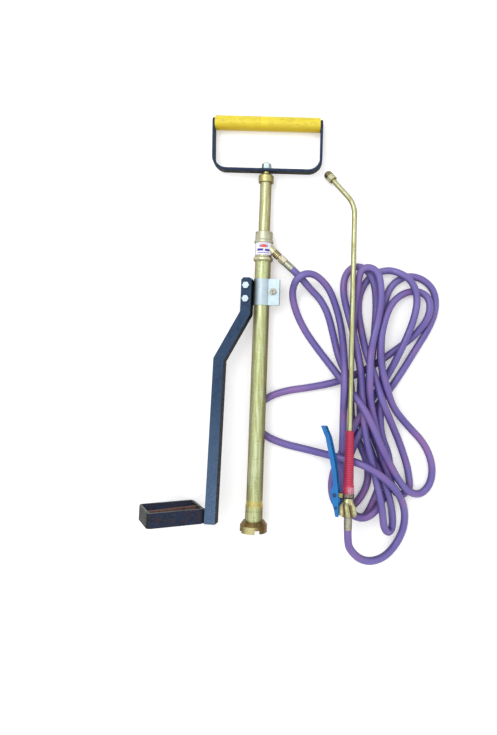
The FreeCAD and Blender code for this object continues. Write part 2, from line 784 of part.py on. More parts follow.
def arm_plan(inset):
    """Plan of the arm, drawn in by a wall: top, slanting part, low part."""
    half = arm_wide / 2 - inset
    shift = inset * 0.3
    top = arm_top - inset
    foot = arm_foot + inset
    bend_out = 0.27 * arm_wide
    return [(-arm_side - half, top - arm_corner_cut), (-arm_side - half + arm_corner_cut, top),
            (-arm_side + half - arm_corner_cut, top), (-arm_side + half, top - arm_corner_cut),
            (-arm_side + half, arm_bend_top - bend_out + shift),
            (-arm_low_side + half, arm_bend_low - bend_out + shift),
            (-arm_low_side + half, foot), (-arm_low_side - half, foot),
            (-arm_low_side - half, arm_bend_low + shift), (-arm_side - half, arm_bend_top + shift)]


def foot_arm():
    """Arm of rectangular tube: flat on the clamp's ear, then bent out sideways and forward."""
    slant = math.degrees(math.atan2(arm_slant, arm_bend_top - arm_foot))
    hinge_at = V(0, arm_bend_top, clamp_plane)
    far = 3 * arm_wide

    def bent(inset):
        low_z = clamp_plane + inset
        high_z = arm_front - inset
        bar = prism(arm_plan(inset), low_z, high_z)
        keep_top = block(V(-2 * far, arm_bend_top, -far), V(far, arm_top + 1, 2 * far))
        keep_low = block(V(-2 * far, arm_foot - 1, -far), V(far, arm_bend_top, 2 * far))
        low = bar.common(keep_low)
        low.rotate(hinge_at, X_AXIS, -slant)
        wedge = bar.common(block(V(-2 * far, arm_bend_top - 2, -far), V(far, arm_bend_top, 2 * far)))
        return bar.common(keep_top).fuse([low, wedge]).removeSplitter()

    arm = bent(0.0).cut(bent(arm_wall))
    drills = [rod(arm_bolt_d, spot, spot.add(V(0, 0, 2 * arm_front))) for spot in arm_spots()]
    return arm.cut(drills)


def ring_outline(inset):
    """Rounded rectangle of the foot ring in its own frame, drawn in by a wall."""
    body = block(V(-ring_wide + inset, 0, -ring_deep + inset), V(-inset, ring_high, -inset))
    return rounded(body, ring_corner_r - inset, lambda edge: edge.BoundBox.YLength > 1)


def foot_ring():
    """Foot ring of flat bar."""
    return moved(ring_outline(0).cut(ring_outline(ring_thick)), ring_place)


def foot_bar():
    """Round bar welded across the ring."""
    station = ring_high - foot_bar_below_top
    left = V(-ring_wide + ring_thick, station, -foot_bar_deep_left)
    right = V(-ring_thick, station, -foot_bar_deep_right)
    way = right.sub(left).normalize().multiply(foot_bar_d)
    bar = rod(foot_bar_d, left.sub(way), right.add(way))
    return moved(bar.common(ring_outline(ring_thick)), ring_place)


def foot_weld():
    """Weld that fills the wedge between the arm's side and the ring's side wall."""
    turn = math.radians(ring_turn_deg)
    corner = ring_place.multVec(V(0, 0, 0))
    low = V(corner.x - weld_long * math.sin(turn), corner.y, corner.z - weld_long * math.cos(turn))
    side = V(corner.x, corner.y, low.z + 3)
    inner = ring_place.multVec(V(-ring_thick / 2, 0, -ring_corner_r))
    face = Part.Face(Part.makePolygon([corner, side, low, inner, corner]))
    return face.extrude(V(0, ring_high - 2, 0)).cut([foot_ring(), foot_arm()])


def hose_tail():
    """Tail of the lance, between the hose and the union nut."""
    return tube(tail_od, tail_bore_d, 0, tail_long)


def union_nut():
    """Lobed union nut: a bell of brass with flutes between its lobes."""
    bell = turned([(body_core_od / 2, tail_long), (union_foot_od / 2, tail_long),
                   (union_od / 2 - 4.2, tail_long + 1.7), (union_od / 2, union_wide_at),
                   (union_od / 2 - 1, union_wide_at + 6), (union_od / 2 - 3.7, union_top - 4),
                   (union_neck_od / 2, union_top), (body_core_od / 2, union_top)])
    for step in range(union_lobes):
        turn = 2 * math.pi * (step + 0.5) / union_lobes
        side = V(math.cos(turn), 0, math.sin(turn))
        low = V(side).multiply(union_flute_out).add(V(0, tail_long - 1, 0))
        high = V(side).multiply(union_neck_od / 2 + union_flute_d / 2 - 1).add(V(0, union_top + 1, 0))
        bell = bell.cut(rod(union_flute_d, low, high))
    return bell


def valve_body():
    """Valve body: core in the union nut, neck with the stem's hole, core in the collar and grip."""
    core = body_core_od / 2
    body = turned([(0, tail_long), (core, tail_long), (core, union_top), (body_neck_od / 2, union_top),
                   (body_neck_od / 2, body_top), (0, body_top)])
    way = lance_tube_od / 2 - lance_tube_wall
    low_way = rod(tail_bore_d, V(0, tail_long - 1, 0), V(0, stem_station - 2, 0))
    high_way = rod(2 * way, V(0, stem_station + 2, 0), V(0, body_top + 1, 0))
    room = stem_head_d / 2 + 0.5
    stem_way = rod(stem_d + 2 * running_gap, V(-body_neck_od, stem_station, 0), V(0, stem_station, 0))
    stem_room = rod(room, V(-stem_inner - 1, stem_station, 0), V(stem_inner + 1, stem_station, 0))
    return body.cut([low_way, high_way, stem_way, stem_room])


def valve_collar():
    """Collar over the valve body with the lug that carries the lever."""
    ring = tube(collar_ring_od, body_neck_od, collar_ring_from, body_top)
    half = lug_thick / 2
    lug = block(V(-pivot_side, pivot_station - lug_wide / 2, -half),
                V(-body_neck_od / 2, pivot_station + lug_wide / 2, half))
    eye = rod(lug_wide, V(-pivot_side, pivot_station, -half), V(-pivot_side, pivot_station, half))
    hole = rod(pivot_pin_d, V(-pivot_side, pivot_station, -lever_deep),
               V(-pivot_side, pivot_station, lever_deep))
    core = rod(body_neck_od, V(0, collar_ring_from - lug_wide, 0), V(0, body_top + lug_wide, 0))
    ring_room = rod(o_ring_od, V(0, collar_ring_from - o_ring_thick, 0), V(0, collar_ring_from, 0))
    return ring.fuse([lug, eye]).removeSplitter().cut([hole, core, ring_room])


def valve_o_ring():
    """Black ring under the collar."""
    return tube(o_ring_od, body_neck_od, collar_ring_from - o_ring_thick, collar_ring_from)


def lever_pin():
    """Pivot pin of the lever."""
    half = lever_deep / 2
    return rod(pivot_pin_d, V(-pivot_side, pivot_station, -half), V(-pivot_side, pivot_station, half))


def lever():
    """Trigger lever: two cheeks and a back web, with the forked tab that pulls the stem."""
    half = lever_deep / 2
    inner = half - lever_sheet
    plan = lever_outer_edge + lever_inner_edge
    body = prism(plan, -half, half)
    back = [(x + lever_sheet, y) for x, y in lever_outer_edge if y > lever_web_foot]
    channel = prism([(0, lever_outer_edge[0][1] - lever_sheet)]
                    + [(back[0][0], lever_outer_edge[0][1] - lever_sheet)] + back[1:]
                    + [(-3 * pivot_side, back[-1][1]), (-3 * pivot_side, 0), (0, 0)], -inner, inner)
    body = body.cut(channel)
    tab = block(V(-tab_outer - 2, stem_station - tab_half_wide, -inner),
                V(-tab_inner, stem_station + tab_half_wide, inner))
    tab_face = block(V(-tab_outer - 2, stem_station - tab_half_wide, -half),
                     V(-tab_outer + 1, stem_station + tab_half_wide, half))
    body = body.fuse([tab, tab_face]).removeSplitter()
    cuts = []
    for wide, way_to in ((stem_d + 4 * free_gap, 0), (stem_head_d + 4 * free_gap, -tab_inner - tab_wall)):
        cuts.append(rod(wide, V(-2 * pivot_side, stem_station, 0), V(way_to, stem_station, 0)))
        cuts.append(block(V(-2 * pivot_side, stem_station, -wide / 2),
                          V(way_to, stem_station + tab_half_wide + 1, wide / 2)))
    body = body.cut(cuts)
    pin_hole = rod(pivot_pin_d + 2 * running_gap, V(-pivot_side, pivot_station, -lever_deep),
                   V(-pivot_side, pivot_station, lever_deep))
    return body.cut(pin_hole)


def valve_stem():
    """Stem that the lever pulls: head outside, plug inside the body."""
    outer = tab_inner + tab_wall + free_gap
    stem = rod(stem_d, V(-outer, stem_station, 0), V(0, stem_station, 0))
    head = rod(stem_head_d, V(-outer - stem_head_thick, stem_station, 0), V(-outer, stem_station, 0))
    return stem.fuse(head).removeSplitter()


def lance_grip():
    """Sleeve of the lance: slim, a little thicker toward the valve, with a flared end."""
    inner = lance_tube_od / 2
    flare_top = body_top + lance_grip_flare_long
    return turned([(inner, body_top), (lance_grip_flare_od / 2, body_top),
                   (lance_grip_flare_od / 2 - 0.6, flare_top), (lance_grip_low_od / 2, flare_top + 1),
                   (lance_grip_top_od / 2, lance_grip_top), (inner, lance_grip_top)])


bend_tangent = bend_radius * math.tan(math.radians(bend_angle_deg / 2))
tip_way = V(-math.sin(math.radians(bend_angle_deg)), math.cos(math.radians(bend_angle_deg)), 0)
bend_vertex = V(0, bend_station, 0)


def tip_point(along):
    """Point on the lance's bent tip, counted from the corner of its two straight parts."""
    return bend_vertex.add(V(tip_way).multiply(along))


def lance_tube():
    """Lance tube: straight, one bend, short straight tip."""
    start = V(0, body_top, 0)
    bend_from = V(0, bend_station - bend_tangent, 0)
    middle_turn = math.radians(bend_angle_deg / 2)
    centre = V(-bend_radius, bend_station - bend_tangent, 0)
    middle = centre.add(V(bend_radius * math.cos(middle_turn), bend_radius * math.sin(middle_turn), 0))
    bend_to = tip_point(bend_tangent)
    path = Part.Wire([Part.LineSegment(start, bend_from).toShape(),
                      Part.Arc(bend_from, middle, bend_to).toShape(),
                      Part.LineSegment(bend_to, tip_point(tip_long)).toShape()])

    def swept(diameter):
        ring = Part.Wire(Part.makeCircle(diameter / 2, start, Y_AXIS))
        return path.makePipeShell([ring], True, False)

    return swept(lance_tube_od).cut(swept(lance_tube_od - 2 * lance_tube_wall))


def nozzle_nut():
    """Hexagon soldered to the end of the lance tube, with the threaded core for the cap."""
    start = tip_point(tip_long)
    end = tip_point(tip_long + nozzle_nut_long)
    core_end = tip_point(tip_long + nozzle_nut_long + nozzle_core_long)
    body = hexagon(nozzle_nut_af, start, end).fuse(rod(nozzle_core_od, start, core_end))
    bore = rod(lance_tube_od - 2 * lance_tube_wall, start, core_end)
    return body.cut(bore).removeSplitter()


def nozzle_cap():
    """Domed nozzle cap with the spray hole."""
    start = tip_long + nozzle_nut_long + free_gap
    radius = cap_dome_od / 2
    room = nozzle_core_od / 2 + running_gap
    profile = [V(room, start, 0), V(radius, start, 0), V(radius, start + cap_dome_long * 0.35, 0)]
    top = V(radius * 0.3, start + cap_dome_long, 0)
    middle = V(radius * 0.82, start + cap_dome_long * 0.8, 0)
    inner_top = start + nozzle_core_long + free_gap
    edges = [Part.LineSegment(profile[0], profile[1]).toShape(),
             Part.LineSegment(profile[1], profile[2]).toShape(),
             Part.Arc(profile[2], middle, top).toShape()]
    rest = [top, V(nozzle_hole_d / 2, start + cap_dome_long, 0), V(nozzle_hole_d / 2, inner_top, 0),
            V(room, inner_top, 0), profile[0]]
    for here, there in zip(rest, rest[1:]):
        edges.append(Part.LineSegment(here, there).toShape())
    dome = Part.Face(Part.Wire(edges)).revolve(V(0, 0, 0), Y_AXIS, 360)
    place = Placement(bend_vertex, Rotation(Z_AXIS, bend_angle_deg))
    return moved(dome, place)


def hose_bend(before, corner, after):
    """Start, middle and end of the arc that rounds a corner of the route, and its radius."""
    back = before.sub(corner)
    ahead = after.sub(corner)
    share = hose_bend_share * min(back.Length, ahead.Length)
    half_turn = (math.pi - back.getAngle(ahead)) / 2
    radius = share / math.tan(half_turn)
    back.normalize()
    ahead.normalize()
    inward = V(back).add(ahead).normalize()
    middle = corner.add(inward.multiply(radius / math.cos(half_turn) - radius))
    start = corner.add(back.multiply(share))
    end = corner.add(ahead.multiply(share))
    return start, middle, end, radius


def hose():
    """Hose from the outlet's ferrule to the tail of the lance, straight runs and tangent bends."""
    outlet = pump_place.multVec(outlet_point(hose_station))
    tail = lance_place.multVec(V(0, 0, 0))
    route = [outlet] + [V(*point) for point in hose_route] + [tail]
    edges = []
    radii = []
    here = outlet
    for before, corner, after in zip(route, route[1:], route[2:]):
        start, middle, end, radius = hose_bend(before, corner, after)
        edges.append(Part.LineSegment(here, start).toShape())
        edges.append(Part.Arc(start, middle, end).toShape())
        radii.append(radius)
        here = end
    edges.append(Part.LineSegment(here, tail).toShape())
    path = Part.Wire(edges)
    section = Part.Wire(Part.Circle(outlet, route[1].sub(outlet), hose_od / 2).toShape())
    solid = path.makePipeShell([section], True, False)
    length = path.Length
    print(f"hose {length:.0f} long, volume {solid.Volume / (length * math.pi * (hose_od / 2) ** 2):.4f}"
          f" of section times length, least gap to itself {hose_gap(path):.2f}")
    print("hose radii " + " ".join(f"{radius:.0f}" for radius in radii))
    return solid


def hose_gap(path):
    """Least gap between two stretches of the hose, measured on points along its middle."""
    count = int(path.Length / hose_od * 4)
    points = path.discretize(Number=count)
    apart = 8
    least = path.Length
    for first in range(count):
        for second in range(first + apart, count):
            across = points[first].distanceToPoint(points[second])
            if across < least:
                least = across
    return least - hose_od


# Each piece by name, with the frame that carries it
pump_pieces = {
    "barrel_tube": barrel_tube(), "foot_sleeve": foot_sleeve(), "base_collar": base_collar(),
    "strainer": strainer(), "suction_seat": suction_seat(),
    "suction_ball": ball(suction_ball_d, suction_ball_at),
    "suction_stop_pin": stop_pin_bar(suction_stop_at(), barrel_bore_r),
    "delivery_head": delivery_head(), "gland_packing": gland_packing(), "gland_nut": gland_nut(),
    "outlet_spigot": outlet_spigot(), "outlet_nut": outlet_nut(), "outlet_ferrule": outlet_ferrule(),
    "clamp_front": clamp_half(True), "clamp_back": clamp_half(False), "clamp_bolt": clamp_bolt(),
    "clamp_nut": clamp_nut(), "arm_bolts": arm_bolts(), "arm_nuts": arm_nuts(),
    "foot_arm": foot_arm(), "foot_ring": foot_ring(), "foot_bar": foot_bar(),
    "foot_weld": foot_weld(),
    "piston": piston(), "piston_cup": piston_cup(),
    "piston_stop_pin": stop_pin_bar(delivery_stop_at(), plunger_bore_r - running_gap),
    "delivery_ball": ball(delivery_ball_d, delivery_ball_at),
}
plunger_pieces = {
    "plunger_tube": plunger_tube(), "plunger_cap": plunger_cap(), "handle_frame": handle_frame(),
    "handle_rod": handle_rod(), "handle_grip": handle_grip(), "handle_washer": handle_washer(),
    "handle_nut": handle_nut(),
}
hose_pieces = {"hose": hose()}
lance_pieces = {
    "hose_tail": hose_tail(), "union_nut": union_nut(), "valve_body": valve_body(),
    "valve_collar": valve_collar(), "valve_o_ring": valve_o_ring(), "lever_pin": lever_pin(),
    "lever": lever(), "valve_stem": valve_stem(), "lance_grip": lance_grip(),
    "lance_tube": lance_tube(), "nozzle_nut": nozzle_nut(), "nozzle_cap": nozzle_cap(),
}

os.makedirs("parts", exist_ok=True)
boxes = []
all_names = []
for pieces, place in ((pump_pieces, pump_place), (plunger_pieces, pump_axis_place),
                      (lance_pieces, lance_place), (hose_pieces, Placement())):
    for name, shape in pieces.items():
        laid = moved(shape, place)
        all_names.append(name)
        laid.exportStep(f"parts/{name}.step")
        box = laid.optimalBoundingBox()
        if name not in hose_pieces:
            boxes.append(box)
        print(f"{name:18s} solids {len(laid.Solids)} valid {laid.isValid()} volume {laid.Volume:9.0f}"
              f" x {box.XMin:7.1f} {box.XMax:7.1f} y {box.YMin:7.1f} {box.YMax:7.1f}"
              f" z {box.ZMin:6.2f} {box.ZMax:6.2f}")
whole = boxes[0]
for box in boxes:
    whole.add(box)
print(f"middle of the box {whole.Center.x:.3f} {whole.Center.y:.3f} floor {whole.ZMin:.3f}")
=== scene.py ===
import bmesh
import bpy
import math
from mathutils import Matrix, Vector


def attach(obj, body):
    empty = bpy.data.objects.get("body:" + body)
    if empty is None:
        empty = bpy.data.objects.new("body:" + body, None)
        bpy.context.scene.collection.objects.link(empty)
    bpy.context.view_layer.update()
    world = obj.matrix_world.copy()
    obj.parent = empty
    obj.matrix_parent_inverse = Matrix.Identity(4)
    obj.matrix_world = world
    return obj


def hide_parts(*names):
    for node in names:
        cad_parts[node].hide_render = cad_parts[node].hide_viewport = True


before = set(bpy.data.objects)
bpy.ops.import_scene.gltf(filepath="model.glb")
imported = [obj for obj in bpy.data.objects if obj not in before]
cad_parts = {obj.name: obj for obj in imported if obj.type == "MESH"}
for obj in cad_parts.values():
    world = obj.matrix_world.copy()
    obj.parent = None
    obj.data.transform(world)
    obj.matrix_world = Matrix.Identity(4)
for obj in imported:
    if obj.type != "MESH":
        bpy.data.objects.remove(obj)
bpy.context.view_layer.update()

# The photograph's frame and the camera, in pixels, metres and radians
photo_wide = 497
photo_high = 735
focal_pixels = 586.4668
principal_column = 304.7342
principal_row = 290.0100
sensor_size = 36.0
camera_place = (0.086390, -0.048066, 0.987692)
camera_tilt = 0.0920

# The floor, the even sky and the one wide lamp
floor_reach = 4.0
floor_colour = (0.93, 0.93, 0.93, 1)
floor_roughness = 0.9
floor_lift = 0.3
zenith_level = 1.15
horizon_level = 0.45
key_place = (-0.5, 0.7, 1.7)
key_size = 0.8
key_power = 9.0

# The frames of the plunger, of the pump, which is rolled a little, and of the lance
plunger_place = (Matrix.Translation((0.005132, -0.341907, 0.031055))
                 @ Matrix.Rotation(math.radians(-1.59), 4, "Z")
                 @ Matrix.Rotation(math.radians(-1.5698), 4, "X"))
pump_place = plunger_place @ Matrix.Rotation(math.radians(-8.6), 4, "Y")
lance_place = (Matrix.Translation((0.152432, -0.331707, 0.0577))
               @ Matrix.Rotation(math.radians(-1.93), 4, "Z")
               @ Matrix.Rotation(math.radians(-3.35), 4, "X")
               @ Matrix.Rotation(math.radians(-20), 4, "Y"))

# Where marks lie, as stations along the pump or the lance, as distances from the axis or as points
solder_from, solder_to, solder_soft = 0.039, 0.0465, 0.004
arm_pale_from, arm_pale_to = 0.2, 0.02
arm_dimple_from, arm_dimple_to = 0.26, 0.1
clamp_stain = (0.0166, 0.3775, 0.009)
clamp_stain_inner, clamp_stain_outer, clamp_stain_rag = 0.0022, 0.0075, 0.0016
# Where the painted reflection crosses the handle's grip
grip_reflection_left, grip_reflection_right, grip_reflection_soft = 0.012, 0.0255, 0.001
lug_inner, lug_outer = 0.0092, 0.011
hollow_inner, hollow_outer = 0.0092, 0.0112
hollow_from, hollow_to = 0.036, 0.041
flare_from, flare_to, flare_soft = 0.0535, 0.0635, 0.0015
sleeve_from, sleeve_to, sleeve_soft = 0.067, 0.149, 0.001
grip_rib_pitch = 0.0034
lever_face = 0.007
lever_rubs = ((0.139, -0.0375), (0.1275, -0.034))
lever_rub_inner, lever_rub_outer, lever_rub_rag = 0.0005, 0.0034, 0.0014
lever_pins = ((0.05, -0.0206, 0.0029), (0.0312, -0.0182, 0.002))
pin_ring_soft = 0.0006
pin_middle_inner, pin_middle_outer = 0.0014, 0.001

# The label's thin violet edge and its bars, in shares of its width and height
label_edge_wide = (0.035, 0.02)
label_edge_high = (0.03, 0.015)
label_bar_soft = 0.012
label_mark_soft = 0.02


def srgb(red, green, blue):
    """Linear colour of a colour written as it is seen, in parts of 255."""
    def linear(part):
        part = part / 255
        if part <= 0.04045:
            return part / 12.92
        return ((part + 0.055) / 1.055) ** 2.4
    return (linear(red), linear(green), linear(blue), 1.0)


def axis_of(place):
    """Direction of the pump's or the lance's axis."""
    return place.to_3x3() @ Vector((0, 1, 0))


class Finish:
    """One material: a Principled shader with patterns laid over its colour."""

    def __init__(self, name, colour, roughness, metallic=0.0):
        self.material = bpy.data.materials.new(name)
        self.material.use_nodes = True
        self.tree = self.material.node_tree
        self.shader = self.tree.nodes["Principled BSDF"]
        self.shader.inputs["Base Color"].default_value = colour
        self.shader.inputs["Roughness"].default_value = roughness
        self.shader.inputs["Metallic"].default_value = metallic
        self.place = self.tree.nodes.new("ShaderNodeTexCoord").outputs["Object"]
        self.colour = colour

    def link(self, source, target):
        self.tree.links.new(source, target)

    def node(self, kind, sockets, operation=None):
        """Outputs of a new node whose sockets are set to values or fed by other nodes."""
        node = self.tree.nodes.new("ShaderNode" + kind)
        if operation:
            node.operation = operation
        for socket, source in sockets.items():
            if isinstance(source, bpy.types.NodeSocket):
                self.link(source, node.inputs[socket])
            else:
                node.inputs[socket].default_value = source
        return node.outputs

    def maths(self, operation, *sources):
        """Result of one operation on numbers."""
        return self.node("Math", dict(enumerate(sources)), operation)["Value"]

    def vectors(self, operation, *sources):
        """Outputs of one operation on vectors."""
        return self.node("VectorMath", dict(enumerate(sources)), operation)

    def stepped(self, source, low, high, floor=0.0, top=1.0):
        """A share that goes from floor to top while the source goes from low to high."""
        return self.node("MapRange", {"Value": source, "From Min": low, "From Max": high,
                                      "To Min": floor, "To Max": top})["Result"]

    def both(self, first, second):
        """A share that is high where two shares are."""
        return self.maths("MULTIPLY", first, second)

    def stretched(self, across, along):
        """The object's coordinates, stretched so that spots turn into streaks."""
        return self.node("Mapping", {"Vector": self.place, "Scale": (across, along, 1)})["Vector"]

    def noise(self, size, detail, low, high, place=None):
        """Cloudy pattern of spots of a size, as a share."""
        texture = self.node("TexNoise", {"Scale": 1 / size, "Detail": detail,
                                         "Vector": place or self.place})
        return self.stepped(texture["Fac"], low, high)

    def cells(self, size, low, high):
        """Rounded cells of a size, as a share that is high in their middle."""
        texture = self.tree.nodes.new("ShaderNodeTexVoronoi")
        texture.feature = "SMOOTH_F1"
        texture.inputs["Scale"].default_value = 1 / size
        self.link(self.place, texture.inputs["Vector"])
        return self.stepped(texture.outputs["Distance"], high, low)

    def facing(self, way, low, high):
        """A share that is high where the surface looks some way."""
        normal = self.node("TexCoord", {})["Normal"]
        return self.stepped(self.vectors("DOT_PRODUCT", normal, way)["Value"], low, high)

    def spot(self, middle, inner, outer, rag=0.0):
        """A share that is high near a point, with a ragged edge."""
        away = self.vectors("DISTANCE", self.place, middle)["Value"]
        if rag:
            away = self.maths("MULTIPLY_ADD", self.noise(rag, 3, 0.3, 0.7), outer - inner, away)
        return self.stepped(away, outer, inner)

    def along(self, way, low, high):
        """A share that goes from 0 to 1 along a direction."""
        return self.stepped(self.vectors("DOT_PRODUCT", self.place, way)["Value"], low, high)

    def station(self, place, low, high):
        """A share that goes from 0 to 1 between two stations of the pump or the lance."""
        way = axis_of(place)
        start = way.dot(place.translation)
        return self.along(way, start + low, start + high)

    def band(self, place, low, high, soft):
        """A share that is high between two stations."""
        return self.both(self.station(place, low - soft, low + soft),
                         self.station(place, high + soft, high - soft))

    def rings(self, place, pitch):
        """A share that comes and goes along the pump or the lance at a pitch."""
        wave = self.maths("PINGPONG", self.along(axis_of(place), -0.5, 0.5), pitch / 2)
        return self.stepped(wave, 0.15 * pitch, 0.45 * pitch)

    def reach(self, place, low, high):
        """A share that goes from 0 to 1 with the distance from the axis of the pump or the lance."""
        apart = self.vectors("SUBTRACT", self.place, place.translation)["Vector"]
        across = self.vectors("CROSS_PRODUCT", apart, axis_of(place))["Vector"]
        return self.stepped(self.vectors("LENGTH", across)["Value"], low, high)

    def tint(self, share, colour):
        """Lay a colour over what is there, by a share."""
        mix = self.tree.nodes.new("ShaderNodeMix")
        mix.data_type = "RGBA"
        base = self.shader.inputs["Base Color"]
        self.link(share, mix.inputs["Factor"])
        if base.is_linked:
            self.link(base.links[0].from_socket, mix.inputs["A"])
        else:
            mix.inputs["A"].default_value = self.colour
        mix.inputs["B"].default_value = colour
        self.link(mix.outputs["Result"], base)

    def clouded(self, size, detail, low, high, colour, place=None):
        """Lay a colour over what is there, in cloudy spots of a size."""
        self.tint(self.noise(size, detail, low, high, place), colour)

    def paint_flank_shade(self, colour, low, high):
        """Lay painted shade over the flanks, where the surface turns away from straight up."""
        self.tint(self.facing((0, 0, 1), high, low), colour)

    def rough(self, share, low, high):
        """Let the roughness follow a share."""
        self.link(self.stepped(share, 0, 1, low, high), self.shader.inputs["Roughness"])

    def rough_clouds(self, size, low, high):
        """Let the roughness change in clouds of a size."""
        self.rough(self.noise(size, 4, 0.3, 0.7), low, high)

    def bump(self, source, distance):
        """Let a pattern stand proud by a distance."""
        relief = self.node("Bump", {"Distance": distance, "Height": source})["Normal"]
        self.link(relief, self.shader.inputs["Normal"])

    def pitted(self, size, detail, depth, place=None):
        """Give the surface fine pits of a size and a depth."""
        self.bump(self.noise(size, detail, 0.3, 0.7, place), depth)

    def gloss(self, level):
        """Set how strongly a surface that is not metal mirrors."""
        self.shader.inputs["Specular IOR Level"].default_value = level


def brass_barrel():
    """Drawn brass, gone greenish, with streaks along it, small dark spots, a golden joint and painted shade
    on its flanks.
    """
    finish = Finish("brass_barrel", srgb(212, 222, 178), 0.44, 0.75)
    streaks = finish.noise(0.003, 5, 0.42, 0.62, finish.stretched(1, 0.06))
    finish.clouded(0.03, 5, 0.4, 0.75, srgb(200, 204, 138))
    finish.tint(streaks, srgb(176, 182, 124))
    finish.clouded(0.0018, 5, 0.58, 0.7, srgb(228, 234, 204))
    finish.clouded(0.0022, 4, 0.62, 0.72, srgb(132, 130, 80))
    # Painted shade on the flanks
    finish.paint_flank_shade(srgb(118, 98, 30), 0.42, 0.84)
    joint = finish.band(pump_place, solder_from, solder_to, solder_soft)
    finish.tint(finish.both(joint, finish.noise(0.0035, 4, 0.3, 0.55)), srgb(220, 196, 96))
    finish.rough(streaks, 0.38, 0.55)
    finish.pitted(0.001, 3, 0.00003)
    return finish.material


def brass_tube():
    """Drawn brass of the lance tube and the plunger, a little brighter than the barrel, with painted shade
    on its flanks.
    """
    finish = Finish("brass_tube", srgb(206, 210, 166), 0.44, 0.75)
    streaks = finish.noise(0.0025, 5, 0.42, 0.6, finish.stretched(1, 0.06))
    finish.tint(streaks, srgb(182, 182, 128))
    finish.clouded(0.0016, 5, 0.58, 0.7, srgb(224, 228, 196))
    finish.clouded(0.0018, 4, 0.6, 0.7, srgb(142, 136, 86))
    # Painted shade on the flanks
    finish.paint_flank_shade(srgb(118, 98, 34), 0.42, 0.86)
    finish.rough(streaks, 0.38, 0.52)
    finish.pitted(0.001, 3, 0.00003)
    return finish.material


def cast_brass():
    """Cast and turned brass, pale and greyish, a little pitted, with painted shade on its flanks."""
    finish = Finish("cast_brass", srgb(216, 216, 180), 0.42, 0.75)
    finish.clouded(0.006, 6, 0.42, 0.68, srgb(198, 196, 148))
    finish.clouded(0.0016, 4, 0.6, 0.7, srgb(140, 128, 80))
    # Painted shade on the flanks
    finish.paint_flank_shade(srgb(116, 94, 42), 0.3, 0.74)
    finish.rough_clouds(0.003, 0.34, 0.54)
    finish.pitted(0.0009, 4, 0.00006)
    return finish.material


def gland_brass():
    """Turned brass of the gland nut, greyer and finely scored along its length, with painted shade on its
    flanks.
    """
    finish = Finish("gland_brass", srgb(208, 208, 186), 0.46, 0.7)
    finish.clouded(0.0026, 4, 0.4, 0.66, srgb(184, 184, 156), finish.stretched(1, 0.1))
    # Painted shade on the flanks
    finish.paint_flank_shade(srgb(134, 124, 84), 0.34, 0.8)
    finish.pitted(0.0012, 3, 0.00008, finish.stretched(1, 0.1))
    return finish.material


def cap_brass():
    """Turned brass of the plunger's cap, yellower, with painted shade on its sides."""
    finish = Finish("cap_brass", srgb(204, 200, 140), 0.42, 0.75)
    finish.clouded(0.004, 6, 0.42, 0.68, srgb(182, 172, 104))
    # Painted shade on the sides
    finish.paint_flank_shade(srgb(118, 98, 38), 0.3, 0.8)
    finish.pitted(0.0009, 4, 0.00005)
    return finish.material


def warm_brass():
    """Brass of the outlet's spigot, more golden, with painted shade on its flanks."""
    finish = Finish("warm_brass", srgb(202, 190, 146), 0.38, 0.85)
    finish.clouded(0.003, 6, 0.42, 0.66, srgb(170, 146, 104))
    # Painted shade on the flanks
    finish.paint_flank_shade(srgb(110, 86, 52), 0.3, 0.75)
    finish.pitted(0.0009, 4, 0.00005)
    return finish.material


def bronze():
    """Metal of the suction collar, brown, with a painted highlight on the faces turned up and a little left
    and painted shade on the faces turned right, left and toward +y.
    """
    finish = Finish("bronze", srgb(172, 156, 102), 0.4, 0.85)
    finish.clouded(0.005, 6, 0.42, 0.66, srgb(140, 118, 66))
    # Painted highlight on the faces turned up and a little left
    finish.tint(finish.facing((-0.35, 0, 0.94), 0.75, 0.97), srgb(206, 198, 142))
    # Painted shade on the faces turned right, left and toward +y
    finish.tint(finish.facing((1, 0, 0.2), 0.3, 0.75), srgb(108, 82, 42))
    finish.tint(finish.facing((-1, 0, 0.1), 0.55, 0.85), srgb(104, 88, 46))
    finish.tint(finish.facing((0, 1, 0), 0.4, 0.75), srgb(110, 84, 40))
    finish.clouded(0.0014, 4, 0.6, 0.7, srgb(214, 200, 150))
    finish.pitted(0.0009, 4, 0.00006)
    return finish.material


def lug_bronze():
    """Metal of the lance's collar, dull and brownish grey, with a greener lug and painted shade on its
    flanks.
    """
    finish = Finish("lug_bronze", srgb(150, 140, 128), 0.44, 0.7)
    finish.clouded(0.0022, 6, 0.44, 0.6, srgb(110, 98, 88))
    finish.tint(finish.reach(lance_place, lug_inner, lug_outer), srgb(168, 164, 104))
    # Painted shade on the flanks
    finish.paint_flank_shade(srgb(70, 56, 44), 0.3, 0.8)
    finish.pitted(0.0009, 4, 0.00006)
    return finish.material


def pale_nut():
    """Nut of the outlet, pale and worn, with painted shade on its flanks."""
    finish = Finish("pale_nut", srgb(222, 214, 190), 0.36, 0.8)
    finish.clouded(0.0024, 6, 0.5, 0.66, srgb(176, 150, 110))
    # Painted shade on the flanks
    finish.paint_flank_shade(srgb(104, 84, 54), 0.15, 0.5)
    finish.pitted(0.0009, 4, 0.00004)
    return finish.material


def worn_zinc():
    """Bolt head with most of its zinc gone."""
    finish = Finish("worn_zinc", srgb(188, 186, 172), 0.5, 0.4)
    finish.clouded(0.0018, 5, 0.46, 0.6, srgb(122, 104, 88))
    finish.clouded(0.001, 4, 0.6, 0.68, srgb(70, 60, 54))
    finish.pitted(0.0008, 5, 0.0001)
    return finish.material


def dark_steel():
    """Blued steel of the stem and the pin."""
    finish = Finish("dark_steel", srgb(56, 74, 108), 0.45, 0.3)
    finish.clouded(0.002, 5, 0.5, 0.65, srgb(36, 50, 84))
    finish.pitted(0.0008, 3, 0.00002)
    return finish.material


